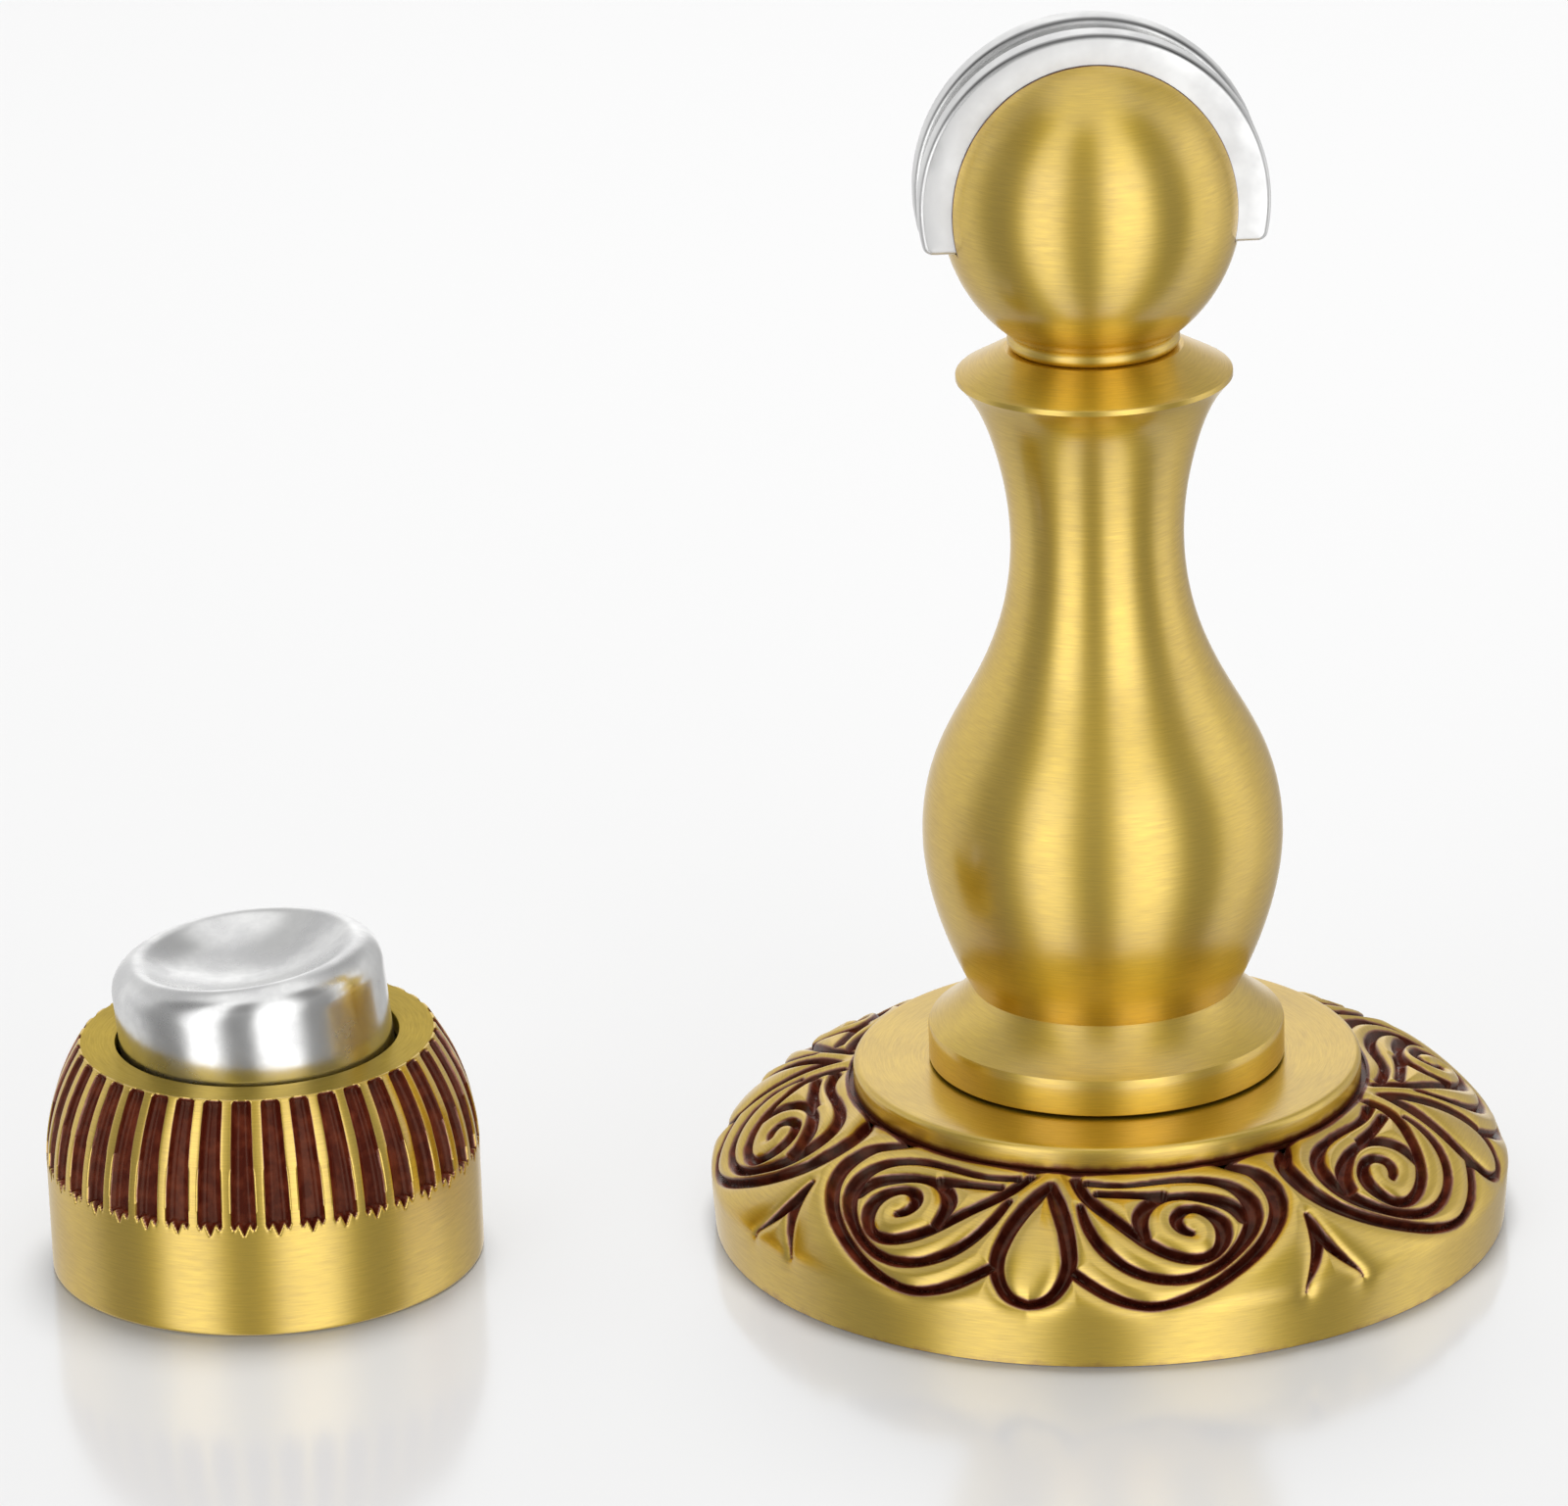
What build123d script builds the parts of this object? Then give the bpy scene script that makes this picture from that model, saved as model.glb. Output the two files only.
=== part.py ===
from build123d import *
import os
from math import asin, cos, degrees, radians, sin, sqrt

# Magnetic door stop: a carved brass floor post with a magnet in its head, and the sprung catch for the door.
# Lengths are in millimetres and angles in degrees.
# The origin is on the post's axis at floor level, with +Z up and the front of the post facing -Y.

# Fits between pieces
thread_gap = 0.05
slip_gap = 0.2
run_gap = 0.3

# Rosette: a low dome on a plain rim, with a raised disc in the middle
rosette_r = 27.3
rim_h = 4.0
rim_draft = 0.3
rim_round = 2.0
dome_h = 5.85
dome_bulge = 1.6
disc_r = 17.3
disc_h = 1.55
disc_edge = 0.5
foot_groove_w = 0.35
foot_groove_h = 0.3
dome_cones = 8

# Carving on the dome: scrolls to either side of a drop, and chevrons between one motif and the next
motif_count = 4
motif_turn = -12.0
carve_depth = 0.5
outer_scroll_w = 0.85
inner_scroll_w = 0.7
volute_w = 0.6
eye_arch_w = 0.65
drop_w = 0.65
chevron_w = 0.5

# Stem: a turned baluster on a threaded spigot
spigot_r = 6.0
foot_r = 12.1
foot_h = 2.7
foot_edge = 0.25
flare_h = 2.8
flare_hollow = 0.2
waist_r = 9.1
bulb_r = 12.15
bulb_h = 10.4
neck_r = 5.8
neck_h = 21.3
collar_r = 9.2
collar_h = 11.1
collar_lip = 0.35
collar_cone_h = 1.75
seat_r = 5.95
floor_thread_r = 3.4
floor_thread_h = 16.0

# Nut under the rosette
nut_r = 10.95
nut_h = 4.0
nut_room = 2.0
recess_h = 6.0

# Head: a ball on a beaded neck, slotted for the magnet stack
head_turn = 5.0
bead_r = 5.75
bead_h = 1.1
ball_r = 9.95
ball_rise = 10.65
ball_lift = 9.9
slot_drop = 2.4
screw_r = 2.0
screw_thread_h = 12.0
screw_head_r = 3.5
screw_head_h = 3.0
screw_socket_r = 1.7
screw_socket_h = 1.6
screw_sink = 0.6

# Conical spring washer in the collar's seat
washer_inner_r = 2.6
washer_outer_r = 4.4
washer_t = 0.35
washer_rise = 0.35

# Magnet stack
plate_r = 11.6
plate_t = 2.1
plate_rise = 2.9
plate_edge = 0.4
magnet_t = 2.2
magnet_inset = 0.45

# Place of the catch beside the post, as the two stand together
catch_x = -57.4
catch_y = -5.1

# Catch cup: a short drum with a fluted shoulder and a lip that holds the button
cup_r = 14.7
cup_drum_h = 8.0
cup_h = 15.9
cup_ring_r = 12.1
cup_bulge = 0.55
lip_land = 1.3
button_gap = 0.37
flute_count = 40
flute_foot_w = 1.5
flute_top_w = 1.2
flute_depth = 0.4
flute_tip = 0.7

# Keeper button: a dished steel keeper that presses in and leans in the lip
button_r = 9.23
button_rise = 6.2
button_round = 2.0
dish_depth = 2.2
dish_edge = 0.8
lean = 5.0
flange_w = 1.45
flange_t = 1.2
ball_seat_r = 5.4
ball_seat_gap = 0.15

# Spring, its cap and the plate at the cup's back
cap_r = 10.0
cap_t = 1.0
cap_boss_r = 4.6
wire_w = 1.4
wire_t = 0.8
spring_turns = 3.0
mount_plate_t = 2.2
door_hole_r = 1.9
door_sink_r = 3.3
door_sink_angle = 90.0
door_hole_spacing = 9.6

# Heights of the post that follow from the sizes above
dome_top_z = rim_h + dome_h
foot_z = dome_top_z + disc_h
waist_z = foot_z + foot_h + flare_h
bulb_z = waist_z + bulb_h
neck_z = bulb_z + neck_h
collar_z = neck_z + collar_h
seat_z = collar_z + collar_lip + collar_cone_h
ball_z = seat_z + ball_lift
slot_z = ball_z - slot_drop
plate_z = slot_z + plate_rise
screw_seat_z = slot_z - screw_sink - screw_head_h
washer_foot_z = seat_z - washer_t - washer_rise

# Sizes of the catch that follow: the flange clears the lip, the chamber and the cap at full lean
lip_z = cup_h - lip_land
pivot_z = cup_h - lip_land / 2
lip_r = button_r + button_gap
lean_sin = sin(radians(lean))
lean_cos = cos(radians(lean))
flange_r = button_r + flange_w
flange_drop = (lip_land / 2 + flange_r * lean_sin + run_gap) / lean_cos
flange_foot = flange_drop + flange_t
chamber_r = flange_r * lean_cos + flange_foot * lean_sin + run_gap
button_top = button_rise + lip_land / 2
dish_r = button_r - button_round
dish_bowl_r = (dish_r**2 + dish_depth**2) / (2 * dish_depth)
cap_seat_r = ball_seat_r + ball_seat_gap
cap_top_z = pivot_z - flange_foot * lean_cos - cap_r * lean_sin - run_gap
cap_under_z = cap_top_z - cap_t
spring_r = cap_r - wire_w / 2 - slip_gap

os.makedirs("parts", exist_ok=True)


def between(start, end, radial, axial):
    """Point of a profile at given shares of the way from one point to another."""
    return (start[0] + radial * (end[0] - start[0]), start[1] + axial * (end[1] - start[1]))


def on_dome(turn, share):
    """Point on plan at a turn from the drop's axis and a share of the dome's width outwards from the disc."""
    return Vector(disc_r + share * (rosette_r - disc_r), 0).rotate(Axis.Z, turn)


def carved_line(width, start, over, end, *further):
    """Carved line of even width: an arc through three points of the dome, then arcs that run on smoothly."""
    with BuildSketch() as line:
        with BuildLine():
            run = ThreePointArc(on_dome(*start), on_dome(*over), on_dome(*end))
            for point in further:
                run = TangentArc(run @ 1, on_dome(*point), tangent=run % 1)
        trace(line_width=width)
    return line.sketch


# One motif of the carving: the lines of one half, each through (turn, share) points, and their mirror image
with BuildSketch() as motif:
    add(carved_line(outer_scroll_w, (37, 0.08), (42, 0.33), (40, 0.63), (30, 0.88), (18, 0.965), (8, 0.88)))
    scroll_turn = [(33, 0.23), (36.6, 0.47), (32.3, 0.75), (22, 0.87), (13, 0.79)]
    add(carved_line(inner_scroll_w, (11, 0.145), (22, 0.145), *scroll_turn))
    volute_turn = [(19, 0.72), (26, 0.79), (30.2, 0.63), (26, 0.465), (23, 0.55)]
    add(carved_line(volute_w, (8.5, 0.35), (12.35, 0.5), *volute_turn))
    add(carved_line(eye_arch_w, (17, 0.53), (19, 0.39), (24.8, 0.335), (33.7, 0.52)))
    add(carved_line(drop_w, (0.3, 0.19), (2.3, 0.37), (5.2, 0.7), (3.6, 0.93), (-0.2, 0.97)))
    add(carved_line(chevron_w, (45, 0.7), (43.9, 0.83), (41, 0.96)))
    mirror(about=Plane.XZ)

# Section of the rosette, from the axis to the rim: narrow cones follow the dome's arc
dome_arc = SagittaArc((rosette_r, rim_h), (disc_r, dome_top_z), -dome_bulge)
dome_shares = [cone / dome_cones for cone in range(dome_cones + 1)]

with BuildSketch(Plane.XZ) as rosette_section:
    with BuildLine():
        rim = Polyline((0, 0), (rosette_r - rim_draft, 0), (rosette_r, rim_h))
        dome = Polyline([dome_arc @ share for share in dome_shares])
        Polyline(dome @ 1, (disc_r, foot_z), (0, foot_z), rim @ 0)
    make_face()

# Cutter for one motif: its lines, down to an even depth below the dome
with BuildPart() as carving:
    with BuildSketch(Plane.XY.offset(rim_h / 2)):
        add(motif.sketch)
    extrude(amount=foot_z)
    with BuildSketch(Plane.XZ):
        with BuildLine():
            floor = Polyline(
                [
                    dome_arc @ share + (dome_arc % share).rotate(Axis.Z, 90) * carve_depth
                    for share in dome_shares[::2]
                ]
            )
            Polyline(floor @ 1, (0, (floor @ 1).Y), (0, 0), ((floor @ 0).X, 0), floor @ 0)
        make_face()
    revolve(axis=Axis.Z, mode=Mode.SUBTRACT)

with BuildPart() as base_rosette:
    with BuildSketch(Plane.XZ):
        add(rosette_section.sketch_local)
    revolve(axis=Axis.Z)
    fillet(base_rosette.edges().filter_by(GeomType.CIRCLE).group_by(Axis.Z)[1], rim_round)
    fillet(base_rosette.edges().filter_by(GeomType.CIRCLE).group_by(Axis.Z)[-1], disc_edge)
    with PolarLocations(0, motif_count, start_angle=motif_turn - 90):
        add(carving.part, mode=Mode.SUBTRACT)
    # groove that sets the disc off from the dome
    with BuildSketch(Plane.XY.offset(dome_top_z - foot_groove_h)):
        Circle(disc_r + foot_groove_w)
        Circle(disc_r, mode=Mode.SUBTRACT)
    extrude(amount=disc_h, mode=Mode.SUBTRACT)
    # recess for the nut, and the hole for the stem's spigot
    with BuildSketch():
        Circle(nut_r + nut_room)
    extrude(amount=recess_h, mode=Mode.SUBTRACT)
    with BuildSketch():
        Circle(spigot_r + slip_gap)
    extrude(amount=foot_z, mode=Mode.SUBTRACT)
base_rosette.part.label = "base_rosette"
export_step(base_rosette.part, "parts/base_rosette.step")

with BuildPart() as rosette_nut:
    with BuildSketch(Plane.XY.offset(recess_h - nut_h)):
        RegularPolygon(nut_r, 6)
        Circle(spigot_r + thread_gap, mode=Mode.SUBTRACT)
    extrude(amount=nut_h)
rosette_nut.part.label = "rosette_nut"
export_step(rosette_nut.part, "parts/rosette_nut.step")

# Stem: the baluster's outline runs from the waist over the bulb and the neck to the collar
waist = (waist_r, waist_z)
bulb = (bulb_r, bulb_z)
neck = (neck_r, neck_z)
collar = (collar_r, collar_z)
baluster = [
    waist,
    between(waist, bulb, 0.59, 0.395),
    bulb,
    between(bulb, neck, 0.15, 0.27),
    between(bulb, neck, 0.59, 0.525),
    between(bulb, neck, 0.882, 0.737),
    neck,
    between(neck, collar, 0.29, 0.58),
    collar,
]

with BuildPart() as stem:
    with BuildSketch(Plane.XZ):
        with BuildLine():
            foot = Polyline(
                (0, 0), (spigot_r, 0), (spigot_r, foot_z), (foot_r, foot_z), (foot_r, foot_z + foot_h)
            )
            SagittaArc(foot @ 1, waist, flare_hollow)
            Spline(baluster, tangents=[(0.55, 1), (1, 1)])
            lip = Line(collar, (collar_r, collar_z + collar_lip))
            Polyline(lip @ 1, (seat_r, seat_z), (0, seat_z), (0, 0))
        make_face()
    revolve(axis=Axis.Z)
    fillet(stem.edges().filter_by(GeomType.CIRCLE).group_by(SortBy.RADIUS)[-1], foot_edge)
    # threaded hole for the bolt in the floor
    with BuildSketch():
        Circle(floor_thread_r)
    extrude(amount=floor_thread_h, mode=Mode.SUBTRACT)
    # pocket for the spring washer, and threaded hole for the head's screw
    with BuildSketch(Plane.XY.offset(washer_foot_z)):
        Circle(washer_outer_r + slip_gap)
    extrude(amount=seat_z - washer_foot_z, mode=Mode.SUBTRACT)
    with BuildSketch(Plane.XY.offset(washer_foot_z)):
        Circle(screw_r + thread_gap)
    extrude(amount=-screw_thread_h, mode=Mode.SUBTRACT)
stem.part.label = "stem"
export_step(stem.part, "parts/stem.step")

with BuildPart() as disc_spring:
    with BuildSketch(Plane.XZ):
        with BuildLine():
            Polyline(
                (washer_outer_r, washer_foot_z),
                (washer_outer_r, washer_foot_z + washer_t),
                (washer_inner_r, seat_z - thread_gap),
                (washer_inner_r, seat_z - thread_gap - washer_t),
                close=True,
            )
        make_face()
    revolve(axis=Axis.Z)
disc_spring.part.label = "disc_spring"
export_step(disc_spring.part, "parts/disc_spring.step")

# Head: its slot runs across the front, turned a little to one side as the head stands
slot_w = magnet_t + 2 * (plate_t + thread_gap)
head_sin = sin(radians(head_turn))
head_cos = cos(radians(head_turn))
slot_floor = Plane(origin=(0, 0, slot_z), x_dir=(head_cos, head_sin, 0), z_dir=(0, 0, 1))
head_face = Plane(origin=(0, 0, plate_z), x_dir=(head_cos, head_sin, 0), z_dir=(head_sin, -head_cos, 0))
neck_core_r = bead_r - bead_h / 2

with BuildPart() as ball_head:
    with BuildSketch(Plane.XZ):
        with Locations((0, ball_z)):
            Ellipse(ball_r, ball_rise)
            Rectangle(2 * ball_r, 4 * ball_rise, align=(Align.MAX, Align.CENTER), mode=Mode.SUBTRACT)
        with Locations((0, seat_z)):
            Rectangle(2 * ball_r, 2 * ball_rise, align=(Align.CENTER, Align.MAX), mode=Mode.SUBTRACT)
        with BuildLine():
            core = Polyline((neck_core_r, seat_z + bead_h), (neck_core_r, ball_z), (0, ball_z), (0, seat_z))
            Line(core @ 1, (neck_core_r, seat_z))
            ThreePointArc((neck_core_r, seat_z), (bead_r, seat_z + bead_h / 2), core @ 0)
        make_face()
    revolve(axis=Axis.Z)
    with BuildSketch(slot_floor):
        Rectangle(4 * ball_r, slot_w)
    extrude(amount=2 * ball_rise, mode=Mode.SUBTRACT)
    # counterbored hole for the screw, under the magnet
    with BuildSketch(Plane.XY.offset(screw_seat_z)):
        Circle(screw_head_r + slip_gap)
    extrude(amount=slot_z - screw_seat_z, mode=Mode.SUBTRACT)
    with BuildSketch(Plane.XY.offset(seat_z)):
        Circle(screw_r + slip_gap)
    extrude(amount=slot_z - seat_z, mode=Mode.SUBTRACT)
ball_head.part.label = "ball_head"
export_step(ball_head.part, "parts/ball_head.step")

with BuildPart() as head_screw:
    with BuildSketch(Plane.XY.offset(washer_foot_z - screw_thread_h + run_gap)):
        Circle(screw_r)
    extrude(amount=screw_seat_z - washer_foot_z + screw_thread_h - run_gap)
    with BuildSketch(Plane.XY.offset(screw_seat_z)):
        Circle(screw_head_r)
    extrude(amount=screw_head_h)
    with BuildSketch(Plane.XY.offset(screw_seat_z + screw_head_h)):
        RegularPolygon(screw_socket_r, 6)
    extrude(amount=-screw_socket_h, mode=Mode.SUBTRACT)
head_screw.part.label = "head_screw"
export_step(head_screw.part, "parts/head_screw.step")

# Pole plates to either side of the magnet: round plates cut off flat where they stand on the slot's floor
for label, start in (("front_pole_plate", magnet_t / 2), ("back_pole_plate", -magnet_t / 2 - plate_t)):
    with BuildPart() as pole_plate:
        with BuildSketch(head_face.offset(start)):
            Circle(plate_r)
            with Locations((0, -plate_rise)):
                Rectangle(2 * plate_r, 2 * plate_r, align=(Align.CENTER, Align.MAX), mode=Mode.SUBTRACT)
        extrude(amount=plate_t)
        fillet(pole_plate.edges().filter_by(GeomType.CIRCLE), plate_edge)
    pole_plate.part.label = label
    export_step(pole_plate.part, f"parts/{label}.step")

with BuildPart() as magnet:
    with BuildSketch(head_face.offset(-magnet_t / 2)):
        Circle(plate_r - magnet_inset)
        with Locations((0, -plate_rise)):
            Rectangle(2 * plate_r, 2 * plate_r, align=(Align.CENTER, Align.MAX), mode=Mode.SUBTRACT)
    extrude(amount=magnet_t)
magnet.part.label = "magnet"
export_step(magnet.part, "parts/magnet.step")

# Catch: its pieces are turned about the cup's own axis
catch_floor = Plane(origin=(catch_x, catch_y, 0))
catch_section = Plane(origin=(catch_x, catch_y, 0), x_dir=(1, 0, 0), z_dir=(0, -1, 0))
catch_axis = Axis((catch_x, catch_y, 0), (0, 0, 1))

with BuildSketch(catch_section) as cup_section:
    with BuildLine():
        drum = Polyline((0, 0), (cup_r, 0), (cup_r, cup_drum_h))
        shoulder = SagittaArc(drum @ 1, (cup_ring_r, cup_h), -cup_bulge)
        Polyline(shoulder @ 1, (0, cup_h), (0, 0))
    make_face()

# Cutter for one flute: an upright bar with a pointed foot, down to an even depth below the cup's outside
with BuildPart() as flute:
    with BuildSketch(Plane(origin=(cup_ring_r - 2 * flute_depth, 0, 0), x_dir=(0, 1, 0), z_dir=(1, 0, 0))):
        with BuildLine():
            Polyline(
                (0, cup_drum_h - flute_tip),
                (flute_foot_w / 2, cup_drum_h),
                (flute_top_w / 2, cup_h + flute_tip),
                (-flute_top_w / 2, cup_h + flute_tip),
                (-flute_foot_w / 2, cup_drum_h),
                close=True,
            )
        make_face()
    extrude(amount=cup_r)
    with BuildSketch(Plane.XZ):
        with BuildLine():
            inner_drum = Polyline((0, 0), (cup_r - flute_depth, 0), (cup_r - flute_depth, cup_drum_h))
            inner_ring = Polyline(
                inner_drum @ 1,
                (cup_ring_r - flute_depth, cup_h),
                (cup_ring_r - flute_depth, cup_h + flute_tip),
            )
            Polyline(inner_ring @ 1, (0, cup_h + flute_tip), (0, 0))
        make_face()
    revolve(axis=Axis.Z, mode=Mode.SUBTRACT)

with BuildPart(catch_floor) as catch_cup:
    with BuildSketch(catch_section):
        add(cup_section.sketch_local)
    revolve(axis=catch_axis)
    with PolarLocations(0, flute_count):
        add(flute.part, mode=Mode.SUBTRACT)
    with BuildSketch(catch_floor):
        Circle(chamber_r)
    extrude(amount=lip_z, mode=Mode.SUBTRACT)
    with BuildSketch(catch_floor):
        Circle(lip_r)
    extrude(amount=cup_h, mode=Mode.SUBTRACT)
catch_cup.part.label = "catch_cup"
export_step(catch_cup.part, "parts/catch_cup.step")

# Keeper button: turned about an axis that leans in the lip, on a round seat centred in the lip
button_section = Plane(origin=(catch_x, catch_y, pivot_z), x_dir=(lean_cos, 0, lean_sin), z_dir=(0, -1, 0))
button_axis = Axis((catch_x, catch_y, pivot_z), (-lean_sin, 0, lean_cos))
ball_seat_edge = sqrt(ball_seat_r**2 - flange_foot**2)

with BuildPart() as keeper_button:
    with BuildSketch(button_section) as button_profile:
        with BuildLine():
            CenterArc(
                (0, button_top - dish_depth + dish_bowl_r),
                dish_bowl_r,
                -90,
                degrees(asin(dish_r / dish_bowl_r)),
            )
            CenterArc((dish_r, button_top - button_round), button_round, 0, 90)
            Polyline(
                (button_r, button_top - button_round),
                (button_r, -flange_drop),
                (flange_r, -flange_drop),
                (flange_r, -flange_foot),
                (ball_seat_edge, -flange_foot),
            )
            CenterArc((0, 0), ball_seat_r, -90, degrees(asin(ball_seat_edge / ball_seat_r)))
            Line((0, -ball_seat_r), (0, button_top - dish_depth))
        make_face()
        fillet(button_profile.vertices().sort_by(Axis.Y)[-1], dish_edge)
    revolve(axis=button_axis)
keeper_button.part.label = "keeper_button"
export_step(keeper_button.part, "parts/keeper_button.step")

cap_seat_edge = sqrt(cap_seat_r**2 - (pivot_z - cap_top_z) ** 2)
cap_boss_z = pivot_z - cap_seat_r - cap_t

with BuildPart() as spring_cap:
    with BuildSketch(catch_section):
        with BuildLine():
            CenterArc((0, pivot_z), cap_seat_r, -90, degrees(asin(cap_seat_edge / cap_seat_r)))
            Polyline(
                (cap_seat_edge, cap_top_z),
                (cap_r, cap_top_z),
                (cap_r, cap_under_z),
                (cap_boss_r, cap_under_z),
                (cap_boss_r, cap_boss_z),
                (0, cap_boss_z),
                (0, pivot_z - cap_seat_r),
            )
        make_face()
    revolve(axis=catch_axis)
spring_cap.part.label = "spring_cap"
export_step(spring_cap.part, "parts/spring_cap.step")

# Spring: flat wire wound from the plate up to the cap
coil_h = cap_under_z - mount_plate_t - wire_t

with BuildPart() as keeper_spring:
    with BuildLine() as coil:
        Helix(
            coil_h / spring_turns, coil_h, spring_r, center=(catch_x, catch_y, mount_plate_t + wire_t / 2)
        )
    with BuildSketch(Plane(origin=coil.line @ 0, x_dir=(1, 0, 0), z_dir=coil.line % 0)):
        Rectangle(wire_w, wire_t)
    sweep(is_frenet=True)
keeper_spring.part.label = "keeper_spring"
export_step(keeper_spring.part, "parts/keeper_spring.step")

with BuildPart(catch_floor) as mounting_plate:
    with BuildSketch(catch_floor):
        Circle(chamber_r - thread_gap)
    extrude(amount=mount_plate_t)
    with Locations((0, 0, mount_plate_t)):
        with GridLocations(door_hole_spacing, 1, 2, 1):
            CounterSinkHole(door_hole_r, door_sink_r, mount_plate_t, door_sink_angle)
mounting_plate.part.label = "mounting_plate"
export_step(mounting_plate.part, "parts/mounting_plate.step")
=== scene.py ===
"""Looks of the magnetic door stop: a satin brass post on a carved rosette, its magnet head, and the fluted door catch.

Each shape is a function of two parameters, worked out on a numpy grid in millimetres in the part's own frame.
"""
import logging
import math
from dataclasses import dataclass, field
from enum import Enum

import bmesh
import bpy
import numpy as np
from mathutils import Matrix, Vector


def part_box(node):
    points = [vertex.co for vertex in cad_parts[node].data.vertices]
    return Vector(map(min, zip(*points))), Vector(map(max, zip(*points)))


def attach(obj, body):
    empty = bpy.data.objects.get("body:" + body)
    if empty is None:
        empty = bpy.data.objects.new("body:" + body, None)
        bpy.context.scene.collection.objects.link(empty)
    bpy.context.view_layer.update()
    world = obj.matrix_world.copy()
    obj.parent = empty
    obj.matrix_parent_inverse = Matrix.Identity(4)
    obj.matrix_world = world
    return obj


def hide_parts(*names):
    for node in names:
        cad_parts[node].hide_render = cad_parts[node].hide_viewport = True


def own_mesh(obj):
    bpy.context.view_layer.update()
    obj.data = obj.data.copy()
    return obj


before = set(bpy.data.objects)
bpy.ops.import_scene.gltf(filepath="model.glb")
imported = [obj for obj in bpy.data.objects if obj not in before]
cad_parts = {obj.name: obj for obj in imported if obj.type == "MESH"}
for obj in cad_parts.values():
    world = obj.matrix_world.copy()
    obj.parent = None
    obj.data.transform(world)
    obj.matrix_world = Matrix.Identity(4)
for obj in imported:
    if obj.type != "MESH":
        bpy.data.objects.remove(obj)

LOG = logging.getLogger("door_stop")
MM = 0.001
TURNING_MAP = "turning"
# Point attribute for dark patina in carved hollows, and for painted shade in creases and on the plates' upper edges.
PATINA_AND_SHADE = "patina"
CARVED_SHARP = 60.0
RAMP_TOP = 2.0
WORLD_STRENGTH = RAMP_TOP**2

Array = np.ndarray
Colour = tuple[float, float, float]


class Body(Enum):
    """Bodies of the part that pieces ride on."""

    FRAME = "frame"
    HEAD = "head"
    KEEPER = "keeper"


class Slot(Enum):
    """Material slots of the part's record."""

    CARVED_BRASS = "patina_brass"
    TURNED_BRASS = "satin_brass"
    POLE_STEEL = "pole_steel"
    MAGNET = "magnet_coat"
    KEEPER_STEEL = "keeper_steel"
    SPRING_STEEL = "spring_steel"


# Shapes


@dataclass
class Sheet:
    """A surface on a grid of rows and columns.

    The normal points along (next column) x (next row).
    """

    points: Array
    uv: Array
    wrap: bool = True
    # Share of dark patina at each point, and of painted shade in creases and on edges.
    patina: Array | None = None

    def faces(self) -> Array:
        """Corner numbers of the quads, row by row."""
        rows, cols = self.points.shape[:2]
        i, j = np.meshgrid(np.arange(rows - 1), np.arange(cols if self.wrap else cols - 1), indexing="ij")
        k = (j + 1) % cols
        quads = np.stack([i * cols + j, i * cols + k, (i + 1) * cols + k, (i + 1) * cols + j], axis=-1)
        return quads.reshape(-1, 4)

    def corner_uv(self) -> Array:
        """Map position of each quad corner, carried on past the seam where the columns wrap."""
        uv = np.concatenate([self.uv, self.uv[:, :1] + (1.0, 0.0)], axis=1) if self.wrap else self.uv
        corners = [uv[:-1, :-1], uv[:-1, 1:], uv[1:, 1:], uv[1:, :-1]]
        return np.stack(corners, axis=2).reshape(-1, 2)


def spread_map(across: Array, along: Array) -> Array:
    """Map positions on a grid, columns by their place across and rows by their place along."""
    return np.stack(np.meshgrid(across, along, indexing="xy"), axis=-1)


def unit(vectors: Array) -> Array:
    """Vectors brought to a length of one."""
    return vectors / np.linalg.norm(vectors, axis=-1, keepdims=True)


def smoothstep(edge0: float, edge1: float, x: Array) -> Array:
    """Smooth rise from 0 at one edge to 1 at the other: t^2 (3 - 2 t)."""
    t = np.clip((x - edge0) / (edge1 - edge0), 0.0, 1.0)
    return t * t * (3.0 - 2.0 * t)


def line(start: tuple[float, float], end: tuple[float, float], steps: int) -> Array:
    """Straight run of a profile.

    Args:
        start: First (radius, height) point.
        end: Last point.
        steps: Number of points.

    Returns:
        Points evenly spread between the two.
    """
    return np.linspace(np.asarray(start, float), np.asarray(end, float), steps)


def arc(centre: tuple[float, float], radius: float, start: float, end: float, steps: int) -> Array:
    """Round run of a profile: centre + radius (cos a, sin a).

    Args:
        centre: Middle of the circle.
        radius: Its radius.
        start: First angle in degrees.
        end: Last angle in degrees.
        steps: Number of points.

    Returns:
        Points evenly spread over the angle.
    """
    a = np.radians(np.linspace(start, end, steps))
    return np.column_stack([centre[0] + radius * np.cos(a), centre[1] + radius * np.sin(a)])


def bowed(start: tuple[float, float], end: tuple[float, float], bulge: float, steps: int) -> Array:
    """Run of a profile that bows to its left: chord + 4 t (1 - t) bulge.

    Args:
        start: First (radius, height) point.
        end: Last point.
        bulge: Height over the chord at the middle, below zero to bow to the right.
        steps: Number of points.

    Returns:
        Points along the run.
    """
    first, chord = np.asarray(start, float), np.subtract(end, start)
    t = np.linspace(0.0, 1.0, steps)[:, None]
    return first + t * chord + 4.0 * t * (1.0 - t) * bulge * unit(np.array([-chord[1], chord[0]]))


def joined(*runs: Array) -> Array:
    """Runs of a profile end to end, with points that fall on the last one left out."""
    path = np.concatenate(runs)
    keep = np.append(True, np.linalg.norm(np.diff(path, axis=0), axis=1) > 1e-6)
    return path[keep]


def travel(path: Array) -> Array:
    """Length along a path up to each of its points."""
    return np.append(0.0, np.cumsum(np.linalg.norm(np.diff(path, axis=0), axis=1)))


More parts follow.
